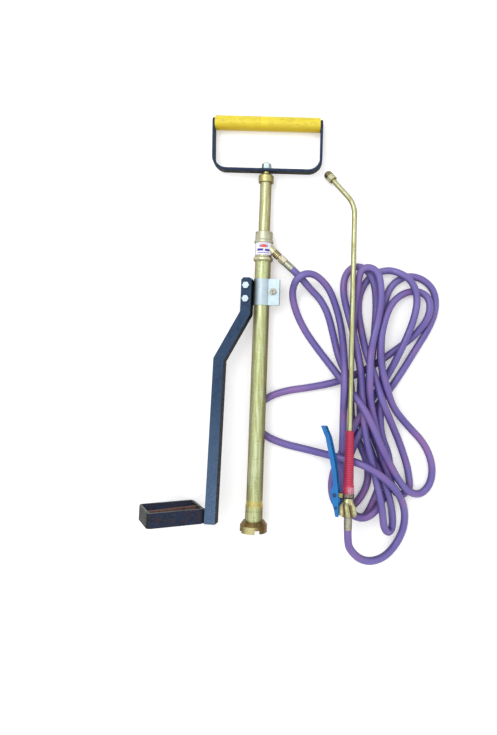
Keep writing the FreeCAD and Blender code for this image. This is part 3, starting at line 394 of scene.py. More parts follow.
def tail_brass():
    """Turned tail of the lance, pale along its middle, with painted shade on its sides."""
    finish = Finish("tail_brass", srgb(188, 184, 168), 0.34, 0.8)
    finish.clouded(0.003, 5, 0.44, 0.68, srgb(152, 148, 126))
    # Painted shade on the sides
    finish.paint_flank_shade(srgb(62, 48, 32), 0.42, 0.88)
    finish.pitted(0.0009, 4, 0.00003)
    return finish.material


def fluted_brass():
    """Greenish brass of the union, with painted shade down in the hollows between its lobes and on its
    flanks.
    """
    finish = Finish("fluted_brass", srgb(206, 204, 162), 0.32, 0.85)
    finish.clouded(0.004, 5, 0.42, 0.68, srgb(174, 168, 114))
    # Painted shade down in the hollows between the lobes
    hollow_shade = finish.both(finish.reach(lance_place, hollow_outer, hollow_inner),
                          finish.station(lance_place, hollow_to, hollow_from))
    finish.tint(hollow_shade, srgb(118, 104, 64))
    # Painted shade on the flanks
    finish.paint_flank_shade(srgb(90, 68, 34), 0.15, 0.66)
    finish.pitted(0.0009, 4, 0.00004)
    return finish.material


def dull_brass():
    """Brass of the ferrule, greyish green, with painted shade on its flanks."""
    finish = Finish("dull_brass", srgb(178, 188, 168), 0.4, 0.75)
    finish.clouded(0.003, 5, 0.44, 0.68, srgb(152, 148, 120))
    # Painted shade on the flanks
    finish.paint_flank_shade(srgb(76, 66, 54), 0.3, 0.8)
    finish.pitted(0.0009, 4, 0.00005)
    return finish.material


def old_brass():
    """Brass that has gone brown, with painted shade on the faces turned down and to the left."""
    finish = Finish("old_brass", srgb(150, 144, 108), 0.46, 0.7)
    finish.clouded(0.004, 6, 0.42, 0.62, srgb(112, 104, 74))
    finish.clouded(0.0012, 4, 0.6, 0.7, srgb(178, 172, 134))
    # Painted shade on the faces turned down and to the left
    finish.tint(finish.facing((-0.7, -0.7, 0), 0.1, 0.75), srgb(48, 40, 34))
    finish.pitted(0.0008, 4, 0.00005)
    return finish.material


def zinc():
    """Pale galvanised sheet with a bluish sheen, faint spangle, a stain and painted shade on its flanks,
    darkest on the left one.
    """
    finish = Finish("zinc", srgb(197, 215, 224), 0.42, 0.25)
    finish.gloss(0.3)
    finish.tint(finish.cells(0.006, 0.1, 0.6), srgb(187, 206, 215))
    finish.clouded(0.0014, 4, 0.64, 0.74, srgb(160, 170, 166))
    middle = pump_place @ Vector(clamp_stain)
    stain = finish.spot(middle, clamp_stain_inner, clamp_stain_outer, clamp_stain_rag)
    finish.tint(stain, srgb(138, 150, 104))
    # Painted shade on the left flank, beside the arm
    finish.tint(finish.facing((-1, 0, 0), 0.42, 0.86), srgb(84, 96, 80))
    # Painted shade on the flanks
    finish.paint_flank_shade(srgb(104, 110, 96), 0.25, 0.72)
    finish.rough_clouds(0.004, 0.3, 0.46)
    finish.pitted(0.002, 3, 0.00003)
    return finish.material


def steel():
    """Bare steel."""
    finish = Finish("steel", srgb(170, 172, 170), 0.34, 0.9)
    finish.clouded(0.002, 5, 0.5, 0.65, srgb(128, 124, 116))
    finish.pitted(0.0008, 3, 0.00002)
    return finish.material


def hammered(name, colour, dark, worn, worn_low):
    """Hammered paint: small dimples, a deeper tone in them and rubbed places."""
    finish = Finish(name, colour, 0.5)
    finish.gloss(0.09)
    dimples = finish.cells(0.0016, 0.05, 0.75)
    finish.tint(dimples, dark)
    finish.clouded(0.012, 5, 0.5, 0.72, dark)
    finish.clouded(0.003, 6, worn_low, worn_low + 0.08, worn)
    finish.rough_clouds(0.006, 0.42, 0.6)
    finish.bump(dimples, 0.00016)
    return finish


def blue_paint():
    """Paint of the foot arm: paler toward its foot, with painted shade, near black, on the flank that faces
    right.
    """
    finish = hammered("blue_paint", srgb(60, 82, 112), srgb(44, 62, 88), srgb(112, 130, 156), 0.72)
    dimples = finish.cells(0.0016, 0.05, 0.75)
    finish.tint(finish.station(pump_place, arm_pale_from, arm_pale_to), srgb(98, 122, 154))
    finish.tint(finish.both(dimples, finish.station(pump_place, arm_dimple_from, arm_dimple_to)),
                srgb(62, 84, 112))
    # Painted shade, near black, on the flank that faces right
    finish.tint(finish.facing((1, 0, 0), 0.5, 0.8), srgb(7, 9, 13))
    return finish.material


def dark_paint():
    """Paint of the foot ring: brownish clouds, a scuffed upper rim, and painted shade on its left face and
    its lower rim.
    """
    finish = hammered("dark_paint", srgb(46, 60, 86), srgb(30, 36, 52), srgb(140, 142, 142), 0.69)
    finish.clouded(0.008, 5, 0.42, 0.66, srgb(56, 50, 60))
    finish.clouded(0.0018, 5, 0.6, 0.72, srgb(80, 88, 98))
    # Painted shade on the left face
    finish.tint(finish.facing((-0.82, 0, 0.57), 0.55, 0.9), srgb(40, 44, 42))
    finish.tint(finish.both(finish.facing((0, 1, 0), 0.5, 0.85), finish.noise(0.003, 5, 0.42, 0.6)),
                srgb(108, 112, 102))
    # Painted shade on the lower rim
    finish.tint(finish.facing((0, -1, 0), 0.4, 0.75), srgb(20, 20, 23))
    return finish.material


def handle_paint():
    """Paint of the handle's bar: blue where it looks up, with painted shade, near black, on its sides."""
    finish = hammered("handle_paint", srgb(52, 68, 98), srgb(38, 50, 74), srgb(120, 132, 152), 0.72)
    # Painted shade, near black, on the sides
    finish.tint(finish.facing((0, 0, 1), 0.75, 0.45), srgb(9, 9, 11))
    return finish.material


def rusty():
    """Bar with brown rust."""
    finish = Finish("rusty", srgb(108, 78, 66), 0.8, 0.05)
    finish.clouded(0.005, 6, 0.4, 0.65, srgb(80, 58, 54))
    finish.clouded(0.0015, 5, 0.58, 0.7, srgb(136, 104, 84))
    finish.pitted(0.0008, 5, 0.00015)
    return finish.material


def plastic(name, colour, shade, mark):
    """Moulded plastic with a soft gloss, handling marks and a little cloud."""
    finish = Finish(name, colour, 0.42)
    finish.gloss(0.35)
    finish.clouded(0.02, 4, 0.4, 0.75, shade)
    finish.clouded(0.0016, 6, 0.68, 0.76, mark)
    finish.rough_clouds(0.004, 0.34, 0.52)
    finish.pitted(0.0012, 3, 0.00003)
    return finish


def yellow_plastic():
    """Grip of the handle: streaks of dirt, a pale painted reflection in a band across its middle, and
    painted shade on its lower side.
    """
    finish = plastic("yellow_plastic", srgb(238, 218, 62), srgb(226, 202, 54), srgb(150, 134, 60))
    finish.clouded(0.003, 6, 0.52, 0.68, srgb(206, 186, 74), finish.stretched(0.3, 1))
    right = (1, 0, 0)
    # Painted reflection: a pale band across the grip's middle
    reflection_band = finish.both(
        finish.along(right, grip_reflection_left - grip_reflection_soft, grip_reflection_left + grip_reflection_soft),
        finish.along(right, grip_reflection_right + grip_reflection_soft, grip_reflection_right - grip_reflection_soft))
    finish.tint(reflection_band, srgb(240, 220, 60))
    # Painted shade on the lower side
    finish.tint(finish.facing((0, -1, 0), 0.25, 0.9), srgb(216, 184, 36))
    return finish.material


def red_plastic():
    """Grip of the lance: painted shade in rings at the rib pitch and on its left side, and a flare scuffed
    pale.
    """
    finish = plastic("red_plastic", srgb(202, 62, 94), srgb(194, 54, 84), srgb(214, 116, 134))
    flare = finish.band(lance_place, flare_from, flare_to, flare_soft)
    scuffed = finish.both(flare, finish.facing((0.8, 0, 0.6), 0.0, 0.6))
    sleeve = finish.band(lance_place, sleeve_from, sleeve_to, sleeve_soft)
    # Painted shade in rings at the rib pitch
    finish.tint(finish.both(sleeve, finish.rings(lance_place, grip_rib_pitch)), srgb(170, 40, 74))
    # Painted shade on the left side
    finish.tint(finish.facing((-1, 0, 0.3), 0.35, 0.95), srgb(172, 36, 74))
    finish.tint(finish.both(scuffed, finish.noise(0.003, 6, 0.36, 0.58)), srgb(206, 122, 148))
    finish.tint(finish.both(scuffed, finish.noise(0.0014, 5, 0.5, 0.62)), srgb(222, 196, 206))
    return finish.material


def blue_plastic():
    """Lever of the lance: two rubbed places, painted light on its right side and rings round its two pins.
    """
    finish = plastic("blue_plastic", srgb(34, 124, 196), srgb(26, 108, 180), srgb(96, 116, 136))
    for along, side in lever_rubs:
        middle = lance_place @ Vector((side, along, lever_face))
        rubbed = finish.spot(middle, lever_rub_inner, lever_rub_outer, lever_rub_rag)
        finish.tint(rubbed, srgb(96, 104, 112))
    # Painted light on the right side
    finish.tint(finish.facing((1, 0, 0), 0.3, 0.7), srgb(70, 152, 214))
    for along, side, size in lever_pins:
        middle = lance_place @ Vector((side, along, lever_face))
        finish.tint(finish.spot(middle, size, size + pin_ring_soft), srgb(16, 56, 106))
        head = finish.spot(middle, size - pin_middle_inner, size - pin_middle_outer)
        finish.tint(head, srgb(40, 98, 170))
    return finish.material


def purple_hose():
    """Soft glossy hose, bluer and pinker by turns, with painted shade on its flanks."""
    finish = Finish("purple_hose", srgb(122, 110, 180), 0.38)
    finish.clouded(0.05, 2, 0.42, 0.6, srgb(142, 106, 172))
    finish.clouded(0.09, 2, 0.45, 0.66, srgb(106, 94, 168))
    finish.clouded(0.003, 5, 0.62, 0.8, srgb(100, 86, 150))
    # Painted shade on the flanks
    finish.paint_flank_shade(srgb(66, 48, 112), 0.05, 0.8)
    finish.rough_clouds(0.008, 0.3, 0.48)
    finish.pitted(0.004, 3, 0.0001)
    return finish.material


def seal():
    """Black rubber of the rings, the packing and the cup."""
    black = srgb(30, 30, 32)
    finish = Finish("seal", black, 0.5)
    finish.clouded(0.004, 5, 0.4, 0.7, tuple(0.7 * part for part in black[:3]) + (1,))
    return finish.material


def label_print():
    """White paper with a thin violet edge and coloured bars."""
    finish = Finish("label_print", srgb(244, 243, 250), 0.5)
    shares = finish.node("SeparateXYZ", {0: finish.node("TexCoord", {})["UV"]})
    across, up = shares["X"], shares["Y"]

    def within(share, low, high, soft):
        return finish.both(finish.stepped(share, low - soft, low + soft),
                           finish.stepped(share, high + soft, high - soft))

    def bar(left, right, low, high, colour, soft=label_bar_soft):
        finish.tint(finish.both(within(across, left, right, soft), within(up, low, high, soft)), colour)

    violet = srgb(122, 108, 190)
    edge, fade = label_edge_wide
    finish.tint(finish.stepped(across, edge, fade), violet)
    finish.tint(finish.stepped(across, 1 - edge, 1 - fade), violet)
    finish.tint(finish.stepped(up, *label_edge_high), violet)
    bar(0.3, 0.38, 0.6, 0.79, srgb(120, 122, 196), label_mark_soft)
    bar(0.38, 0.62, 0.58, 0.82, srgb(226, 84, 70), label_mark_soft)
    bar(0.62, 0.7, 0.6, 0.79, srgb(120, 122, 196), label_mark_soft)
    bar(0.18, 0.49, 0.31, 0.49, srgb(58, 54, 158))
    bar(0.56, 0.82, 0.29, 0.47, srgb(66, 62, 164))
    bar(0.22, 0.78, 0.13, 0.21, srgb(138, 132, 200))
    bar(0.28, 0.72, 0.88, 0.91, srgb(176, 174, 220))
    finish.pitted(0.0006, 3, 0.00001)
    return finish.material


finishes = {make.__name__: make() for make in (
    brass_barrel, brass_tube, cast_brass, cap_brass, gland_brass, warm_brass, bronze, lug_bronze, pale_nut,
    worn_zinc, dark_steel, tail_brass, fluted_brass, dull_brass, old_brass, zinc, steel, blue_paint,
    dark_paint, handle_paint, rusty, yellow_plastic, red_plastic, blue_plastic, seal, purple_hose,
    label_print)}

# Nodes whose finish differs from what their slot says
own_finishes = {
    "plunger_tube": "brass_tube",
    "lance_tube": "brass_tube",
    "outlet_spigot": "warm_brass",
    "plunger_cap": "cap_brass",
    "gland_nut": "gland_brass",
    "base_collar": "bronze",
    "valve_collar": "lug_bronze",
    "outlet_nut": "pale_nut",
    "clamp_bolt": "worn_zinc",
    "valve_stem": "dark_steel",
    "lever_pin": "dark_steel",
    "hose_tail": "tail_brass",
}


def dress_nodes():
    """Give every node its finish."""
    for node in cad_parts:
        for place in bpy.data.objects[node].material_slots:
            slot = own_finishes.get(node, place.material.name.split(".")[0])
            place.material = finishes[slot]


# The hose, its size and the points that it follows
hose_thick = 0.012
hose_order = 3
hose_round_steps = 6
hose_long_steps = 12
hose_route = [
    (0.065967, 0.074667, 0.027048),
    # Down from the outlet to the first turn
    (0.0802, 0.0609, 0.0296), (0.095, 0.0435, 0.02), (0.113, 0.0265, 0.0062), (0.1255, 0.002, 0.0062),
    (0.1335, -0.031, 0.0062), (0.141, -0.0645, 0.0062), (0.149, -0.087, 0.02), (0.163, -0.108, 0.019),
    (0.162, -0.14, 0.0062), (0.164, -0.179, 0.0062),
    # First turn
    (0.178, -0.2145, 0.0062), (0.1885, -0.24, 0.0062), (0.1905, -0.2675, 0.0062),
    (0.1815, -0.291, 0.0062),
    # Low turn under the lance's union
    (0.164, -0.3115, 0.0062), (0.1445, -0.3155, 0.0062), (0.1315, -0.299, 0.0062),
    (0.129, -0.2705, 0.0062), (0.139, -0.24, 0.0062),
    # Up across the bundle
    (0.1525, -0.213, 0.007), (0.167, -0.18, 0.022), (0.184, -0.1525, 0.0225),
    (0.205, -0.1265, 0.0135), (0.221, -0.104, 0.0062),
    # Right side of the third top loop
    (0.237, -0.0725, 0.02), (0.2545, -0.037, 0.02), (0.2675, -0.005, 0.02), (0.274, 0.0295, 0.02),
    # Its top
    (0.2635, 0.058, 0.02), (0.2415, 0.0715, 0.02), (0.2215, 0.076, 0.009),
    # Down to the right of the bundle
    (0.1965, 0.066, 0.0062), (0.18, 0.0415, 0.0062), (0.175, 0.0105, 0.0062), (0.181, -0.028, 0.0062),
    (0.1855, -0.061, 0.0335), (0.1965, -0.0915, 0.0335), (0.205, -0.1185, 0.0335),
    (0.2115, -0.143, 0.042), (0.2255, -0.174, 0.0265), (0.242, -0.2095, 0.0062),
    (0.253, -0.2435, 0.0062), (0.256, -0.261, 0.0062), (0.258, -0.2805, 0.0062),
    # Its low turn
    (0.247, -0.2925, 0.007), (0.2305, -0.287, 0.016),
    # Up under the bundle
    (0.2205, -0.253, 0.0215), (0.2095, -0.225, 0.02), (0.2035, -0.1975, 0.0335),
    # Up on the bundle
    (0.1975, -0.169, 0.0335), (0.1925, -0.1405, 0.0335), (0.1895, -0.114, 0.047),
    (0.19, -0.0905, 0.047), (0.1915, -0.0655, 0.047), (0.1985, -0.0365, 0.0335),
    (0.2065, -0.006, 0.0335), (0.212, 0.03, 0.0335),
    # Top of the middle loop
    (0.209, 0.0645, 0.0335), (0.199, 0.076, 0.0335), (0.185, 0.0775, 0.0335), (0.1765, 0.0685, 0.03),
    # Down its left side
    (0.174, 0.0445, 0.02), (0.17, 0.0115, 0.0185),
    # Down under the bundle
    (0.1665, -0.0265, 0.011), (0.1715, -0.058, 0.0062), (0.176, -0.079, 0.018),
    (0.1785, -0.1, 0.0205), (0.1775, -0.132, 0.0062), (0.1775, -0.166, 0.0062),
    (0.1855, -0.1985, 0.0062), (0.198, -0.2305, 0.0062), (0.2045, -0.25, 0.02),
    (0.212, -0.2685, 0.0215), (0.22, -0.2865, 0.0255),
    # Narrow low fold
    (0.228, -0.3165, 0.0062), (0.2285, -0.343, 0.009),
    # Up on the bundle
    (0.22, -0.3485, 0.0195), (0.211, -0.337, 0.0315), (0.209, -0.309, 0.0335),
    (0.2045, -0.286, 0.0335), (0.1995, -0.263, 0.0335), (0.194, -0.238, 0.0335),
    (0.1855, -0.2035, 0.034), (0.18, -0.1655, 0.037), (0.18, -0.127, 0.028), (0.177, -0.0865, 0.034),
    (0.1705, -0.051, 0.0285), (0.1635, -0.02, 0.0275),
    # Left side of the second top loop
    (0.1555, 0.0095, 0.021), (0.1505, 0.041, 0.0062), (0.154, 0.068, 0.0062),
    # Its top
    (0.169, 0.0825, 0.013), (0.1885, 0.0775, 0.018),
    # Down its right side
    (0.202, 0.0555, 0.02), (0.2065, 0.0205, 0.0062), (0.2035, -0.0215, 0.0062),
    # Down under the bundle
    (0.1975, -0.0675, 0.02), (0.193, -0.092, 0.02), (0.1895, -0.1255, 0.0062),
    (0.1905, -0.1645, 0.0062), (0.1995, -0.2015, 0.0062), (0.213, -0.232, 0.0062),
    (0.2125, -0.2595, 0.0062),
    # Wide low turn
    (0.2065, -0.283, 0.0062), (0.1935, -0.3125, 0.0062), (0.183, -0.3285, 0.0075),
    (0.166, -0.3225, 0.0175), (0.155, -0.305, 0.023), (0.1525, -0.2845, 0.013),
    (0.153, -0.256, 0.0062), (0.1605, -0.229, 0.0062),
    # Up across the bundle
    (0.1695, -0.204, 0.02), (0.1835, -0.179, 0.02), (0.194, -0.1635, 0.022), (0.205, -0.15, 0.012),
    (0.2175, -0.1345, 0.0062), (0.2325, -0.1155, 0.0062), (0.251, -0.0885, 0.0062),
    (0.2715, -0.056, 0.0062), (0.294, -0.0215, 0.0062),
    # Right side of the outer top loop
    (0.3065, 0.0105, 0.0062), (0.3045, 0.041, 0.0062),
    # Its top
    (0.2865, 0.0605, 0.0062), (0.262, 0.067, 0.0062), (0.239, 0.0575, 0.0062),
    (0.2235, 0.036, 0.0062),
    # Down under the bundle
    (0.219, 0.002, 0.0062), (0.215, -0.0295, 0.008), (0.2115, -0.0595, 0.019), (0.2135, -0.092, 0.02),
    (0.214, -0.1205, 0.0235), (0.2105, -0.1445, 0.0265), (0.208, -0.1685, 0.024),
    (0.211, -0.198, 0.02), (0.225, -0.2305, 0.0062), (0.225, -0.256, 0.0062),
    # Wide low turn, second time
    (0.2225, -0.279, 0.0062), (0.214, -0.2975, 0.009), (0.2005, -0.314, 0.0215),
    (0.1815, -0.3255, 0.024), (0.16, -0.317, 0.034),
    # Up beside the lance
    (0.1475, -0.298, 0.0335), (0.144, -0.2735, 0.02),
    # Up to the left loop
    (0.146, -0.2385, 0.018), (0.148, -0.199, 0.022), (0.1485, -0.1635, 0.0265),
    (0.149, -0.1305, 0.042), (0.1505, -0.0975, 0.04), (0.1505, -0.0625, 0.0265),
    (0.148, -0.023, 0.0062), (0.1395, 0.014, 0.0062), (0.125, 0.048, 0.02), (0.1, 0.069, 0.0335),
    (0.0755, 0.062, 0.047),
    # Down the left loop
    (0.0645, 0.0395, 0.02), (0.07, 0.009, 0.0062), (0.086, -0.0255, 0.0062), (0.1085, -0.057, 0.0062),
    (0.1295, -0.084, 0.013),
    # Down over the bundle and round the right loop
    (0.147, -0.107, 0.0215), (0.1595, -0.1235, 0.0305), (0.171, -0.1365, 0.041),
    (0.1835, -0.1555, 0.0495), (0.1955, -0.181, 0.048), (0.2065, -0.209, 0.047),
    (0.2205, -0.2365, 0.0335), (0.235, -0.2635, 0.0275), (0.2515, -0.284, 0.0235),
    (0.2755, -0.2925, 0.0062), (0.2925, -0.2735, 0.0062), (0.2955, -0.2435, 0.0062),
    (0.283, -0.2105, 0.0062), (0.2555, -0.1815, 0.0062),
    # Up to the inner top loop
    (0.229, -0.151, 0.0265), (0.218, -0.118, 0.037), (0.2095, -0.0835, 0.0335),
    (0.2085, -0.0545, 0.0335), (0.214, -0.02, 0.0265),
    # Inner top loop
    (0.2275, 0.017, 0.02), (0.2515, 0.0375, 0.0062), (0.2775, 0.0415, 0.0062), (0.2945, 0.0265, 0.02),
    # Down to the left, under the bundle and the barrel
    (0.2915, -0.005, 0.02), (0.2695, -0.0345, 0.0062), (0.239, -0.057, 0.0062),
    (0.208, -0.0785, 0.0062), (0.1745, -0.0975, 0.0062), (0.1365, -0.1115, 0.0062),
    (0.095, -0.1195, 0.0062), (0.0555, -0.1245, 0.0062), (0.025, -0.135, 0.0062),
    (0.0035, -0.1545, 0.0062), (0.003, -0.1805, 0.0062), (0.022, -0.199, 0.0062),
    # Back over the bundle and round to the lance
    (0.0525, -0.2115, 0.0062), (0.09, -0.22, 0.0062), (0.1285, -0.226, 0.028),
    (0.1585, -0.232, 0.0345), (0.184, -0.239, 0.047), (0.2105, -0.256, 0.047),
    (0.235, -0.282, 0.0335), (0.2495, -0.3165, 0.0062), (0.247, -0.3445, 0.0062),
    (0.2345, -0.3695, 0.0062), (0.2135, -0.385, 0.02), (0.191, -0.388, 0.032),
    (0.172, -0.381, 0.0425), (0.158, -0.366, 0.051), (0.1518, -0.3517, 0.0589),
    (0.152432, -0.331707, 0.0577),
]


def hose():
    """One length of hose from the pump's outlet to the lance."""
    curve = bpy.data.curves.new("garden_hose", "CURVE")
    curve.dimensions = "3D"
    curve.bevel_depth = hose_thick / 2
    curve.bevel_resolution = hose_round_steps
    curve.resolution_u = hose_long_steps
    curve.use_fill_caps = True
    spline = curve.splines.new("NURBS")
    spline.points.add(len(hose_route) - 1)
    for point, place in zip(spline.points, hose_route):
        point.co = (*place, 1)
    spline.order_u = hose_order
    spline.use_endpoint_u = True
    piece = bpy.data.objects.new("garden_hose", curve)
    bpy.context.collection.objects.link(piece)
    curve.materials.append(finishes["purple_hose"])
    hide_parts("hose")
    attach(piece, "pump")


# The label bent round the head
label_radius = 0.0138
label_from = 0.4405
label_to = 0.4618
label_turn_deg = 12.6
label_half_deg = 74
label_columns = 32

# The lance's grip: radius and station round its flare, and the ribs above it
grip_profile = [(0.00425, 0.0538), (0.0089, 0.0538), (0.0083, 0.0659), (0.00725, 0.0669)]
grip_top_radius = 0.0064
grip_top = 0.1484
grip_rib_high = 0.0005
grip_rib_shares = ((0.3, 0), (0.5, 1), (0.8, 1), (1.0, 0))
grip_segments = 48

# The lance's union: each section is its station, its radius in a hollow and its radius on a lobe
union_segments = 120
union_lobes = 5
union_turn_deg = 10
union_twist_deg = -15
union_twist_from = 0.0253
union_twist_to = 0.0371
union_sections = [(0.0183, 0.006, 0.006), (0.0183, 0.0068, 0.0068), (0.0189, 0.0076, 0.009),
                  (0.0205, 0.0082, 0.0119), (0.0225, 0.0085, 0.0136), (0.025, 0.0086, 0.0142),
                  (0.0285, 0.0086, 0.0142), (0.032, 0.0085, 0.0139), (0.035, 0.0084, 0.0133),
                  (0.0375, 0.0083, 0.0123), (0.0395, 0.0082, 0.0109), (0.0412, 0.0082, 0.0095),
                  (0.043, 0.0083, 0.0087), (0.046, 0.0079, 0.0079), (0.0469, 0.0077, 0.0077),
                  (0.0469, 0.0068, 0.0068)]

# The handle's bar: it lies across the plunger's end, and its left leg opens outward a little
bar_thick = 0.0044
bar_wide = 0.018
bar_edge = 0.0007
bar_station = 0.5848
bar_top = 0.67
bar_half = 0.09215
bar_half_left_foot = 0.0892
bar_corner = 0.024
bar_corner_steps = 16
bar_end_steps = 5
bar_end_least = 0.05


def as_piece(shape, place, name, finish, smooth=True):
    """Make a piece of a shape that was drawn in the frame of the pump, the plunger or the lance."""
    bmesh.ops.recalc_face_normals(shape, faces=shape.faces)
    for face in shape.faces:
        face.smooth = smooth
    shape.transform(place)
    mesh = bpy.data.meshes.new(name)
    shape.to_mesh(mesh)
    shape.free()
    mesh.materials.append(finishes[finish])
    piece = bpy.data.objects.new(name, mesh)
    bpy.context.collection.objects.link(piece)
    return piece


def label():
    """Label bent round the front of the head."""
    shape = bmesh.new()
    bmesh.ops.create_grid(shape, x_segments=label_columns, y_segments=1, size=0.5)
    sheet = shape.loops.layers.uv.new("print")
    for face in shape.faces:
        for loop in face.loops:
            loop[sheet].uv = (loop.vert.co.x + 0.5, loop.vert.co.y + 0.5)
    for corner in shape.verts:
        turn = math.radians(label_turn_deg + 2 * label_half_deg * corner.co.x)
        height = label_from + (label_to - label_from) * (corner.co.y + 0.5)
        corner.co = (label_radius * math.sin(turn), height, label_radius * math.cos(turn))
    piece = as_piece(shape, pump_place, "head_label", "label_print")
    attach(piece, "pump")


def extruded(shape, edges):
    """Draw a ring of edges out into a new one, and give the new edges and corners."""
    grown = bmesh.ops.extrude_edge_only(shape, edges=edges)["geom"]
    return ([part for part in grown if isinstance(part, bmesh.types.BMEdge)],
            [part for part in grown if isinstance(part, bmesh.types.BMVert)])


def lobed_union():
    """Union nut of the lance: a bell that widens to five rounded lobes with wide hollows between."""
    shape = bmesh.new()
    ring = bmesh.ops.create_circle(shape, segments=union_segments, radius=1)["verts"]
    bmesh.ops.rotate(shape, verts=ring, matrix=Matrix.Rotation(math.pi / 2, 3, "X"))
    edges = list(shape.edges)
    rings = [ring]
    while len(rings) < len(union_sections):
        edges, ring = extruded(shape, edges)
        rings.append(ring)
    for ring, (station, hollow, lobe) in zip(rings, union_sections):
        rise = (station - union_twist_from) / (union_twist_to - union_twist_from)
        lobe_at = math.radians(union_turn_deg + rise * union_twist_deg)
        for corner in ring:
            turn = math.atan2(corner.co.x, corner.co.z)
            wave = (1 + math.cos(union_lobes * (turn - lobe_at))) / 2
            radius = hollow + (lobe - hollow) * wave
            corner.co = Vector((radius * math.sin(turn), station, radius * math.cos(turn)))
    piece = as_piece(shape, lance_place, "lobed_union", "fluted_brass")
    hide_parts("union_nut")
    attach(piece, "pump")


def bar_half_path(top, foot):
    """Middle line of the bar's right half from the leg's end to the flat: point, facing and width."""
    low = bar_station + bar_thick / 2
    lean = math.atan2(top - foot, bar_top - low)
    leg = Vector((math.sin(lean), math.cos(lean), 0))
    turn = math.pi / 2 - lean
    radius = bar_corner - bar_thick / 2
    middle = Vector((foot - radius * math.tan(turn / 2), low + radius, 0))
    half = []
    for step in range(bar_end_steps + 1):
        angle = math.pi / 2 * (bar_end_steps - step) / bar_end_steps
        along = bar_top - low + bar_wide / 2 * math.sin(angle)
        half.append((Vector((foot, low, 0)) + leg * along, lean, max(math.cos(angle), bar_end_least)))
    for step in range(bar_corner_steps + 1):
        swing = turn * (1 - step / bar_corner_steps)
        out = Vector((math.sin(swing), -math.cos(swing), 0))
        half.append((middle + radius * out, math.pi / 2 - swing, 1))
    return half


def bar_path():
    """Middle line of the handle's bar from the left leg's end to the right leg's end."""
    left = [(Vector((-at.x, at.y, 0)), math.pi - face, wide)
            for at, face, wide in bar_half_path(bar_half, bar_half_left_foot)]
    return left + bar_half_path(bar_half, bar_half)[::-1]


def handle_bar():
    """U of flat bar with wide round corners and rounded ends round the grip's rod."""
    def bearing(across, up):
        return math.atan2(up, across)

    shape = bmesh.new()
    thick = bar_thick / 2
    deep = bar_wide / 2
    outline = [(side * (thick - inset), way * (deep - bar_edge + inset))
               for side in (-1, 1) for way in (-1, 1) for inset in (0, bar_edge)]
    outline.sort(key=lambda spot: bearing(*spot))
    ring = bmesh.ops.create_circle(shape, segments=len(outline), radius=1, cap_ends=True)["verts"]
    ring = sorted(ring, key=lambda corner: bearing(corner.co.x, corner.co.y))
    edges = list(shape.edges)
    spots = dict(zip(ring, outline))
    for index, (at, face, wide) in enumerate(bar_path()):
        if index:
            edges, fresh = extruded(shape, edges)
            spots = {corner: spots[min(spots, key=lambda old: (old.co - corner.co).length)]
                     for corner in fresh}
        across = Vector((math.cos(face), -math.sin(face), 0))
        for corner, (out, up) in spots.items():
            corner.co = at + across * out + Vector((0, 0, up * wide))
    bmesh.ops.holes_fill(shape, edges=edges, sides=len(outline))
    piece = as_piece(shape, plunger_place, "handle_bar", "handle_paint", smooth=False)
    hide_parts("handle_frame")
    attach(piece, "plunger")


def ribbed_grip():
    """Grip of the lance with fine ribs round it, from the flare to the top."""
    outline = list(grip_profile)
    start_radius, start = outline[-1]
    long = grip_top - start
    count = round(long / grip_rib_pitch)
    for rib in range(count):
        for share, high in grip_rib_shares:
            at = start + (rib + share) * long / count
            radius = start_radius + (grip_top_radius - start_radius) * (at - start) / long
            outline.append((radius + high * grip_rib_high, at))
    outline.append((grip_profile[0][0], grip_top))
    shape = bmesh.new()
    corners = [shape.verts.new((radius, at, 0)) for radius, at in outline]
    lines = [shape.edges.new(pair) for pair in zip(corners, corners[1:] + corners[:1])]
    bmesh.ops.spin(shape, geom=corners + lines, cent=(0, 0, 0), axis=(0, 1, 0), dvec=(0, 0, 0),
                   angle=2 * math.pi, steps=grip_segments, use_merge=True)
    piece = as_piece(shape, lance_place, "ribbed_grip", "red_plastic")
    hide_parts("lance_grip")
    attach(piece, "pump")


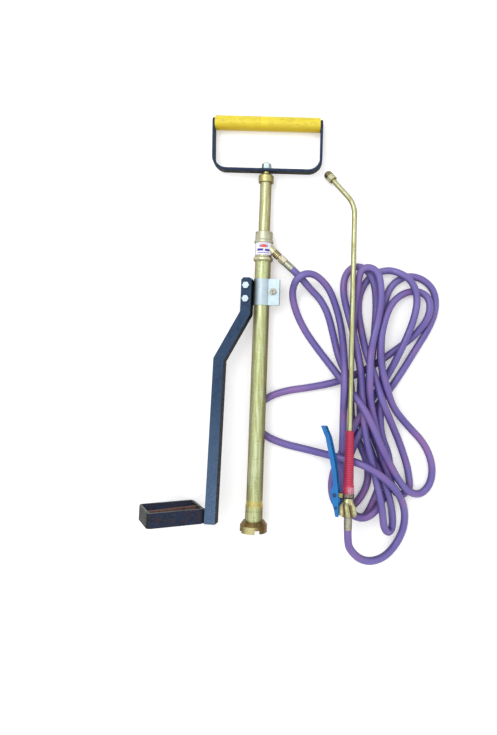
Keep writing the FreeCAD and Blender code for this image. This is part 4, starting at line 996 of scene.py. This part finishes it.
def stage():
    """Pale floor that is white to the camera and keeps the shadow."""
    bpy.ops.mesh.primitive_plane_add(size=2 * floor_reach)
    floor = bpy.context.object
    floor.name = "floor"
    finish = Finish("floor", floor_colour, floor_roughness)
    finish.gloss(0)
    path = finish.node("LightPath", {})
    seen = path["Is Camera Ray"]
    for other in ("Is Glossy Ray", "Is Transmission Ray"):
        seen = finish.maths("ADD", seen, path[other])
    finish.shader.inputs["Emission Color"].default_value = (1, 1, 1, 1)
    finish.link(finish.stepped(seen, 0, 1, 0, floor_lift), finish.shader.inputs["Emission Strength"])
    floor.data.materials.append(finish.material)


def camera():
    """Camera where the photographer's was, above the pump and a little below its middle."""
    data = bpy.data.cameras.new("camera")
    data.sensor_fit = "AUTO"
    data.sensor_width = sensor_size
    long_side = max(photo_wide, photo_high)
    data.lens = focal_pixels * sensor_size / long_side
    data.shift_x = (photo_wide / 2 - principal_column) / long_side
    data.shift_y = (principal_row - photo_high / 2) / long_side
    eye = bpy.data.objects.new("camera", data)
    eye.location = camera_place
    eye.rotation_euler = (camera_tilt, 0, 0)
    bpy.context.collection.objects.link(eye)
    bpy.context.scene.camera = eye


def lights():
    """Soft studio light: an even sky and one wide lamp."""
    world = bpy.data.worlds.new("studio")
    world.use_nodes = True
    sky = world.node_tree
    background = sky.nodes["Background"]
    background.inputs["Color"].default_value = (1, 1, 1, 1)
    up = sky.nodes.new("ShaderNodeSeparateXYZ")
    sky.links.new(sky.nodes.new("ShaderNodeTexCoord").outputs["Generated"], up.inputs[0])
    rise = sky.nodes.new("ShaderNodeMapRange")
    rise.inputs["To Min"].default_value = horizon_level
    rise.inputs["To Max"].default_value = zenith_level
    sky.links.new(up.outputs["Z"], rise.inputs["Value"])
    sky.links.new(rise.outputs["Result"], background.inputs["Strength"])
    bpy.context.scene.world = world
    data = bpy.data.lights.new("key", "AREA")
    data.energy = key_power
    data.size = key_size
    lamp = bpy.data.objects.new("key", data)
    lamp.location = key_place
    lamp.rotation_euler = (-Vector(key_place)).to_track_quat("-Z", "Y").to_euler()
    bpy.context.collection.objects.link(lamp)


dress_nodes()
hose()
label()
ribbed_grip()
lobed_union()
handle_bar()
stage()
camera()
lights()
bpy.context.scene.view_settings.view_transform = "Standard"
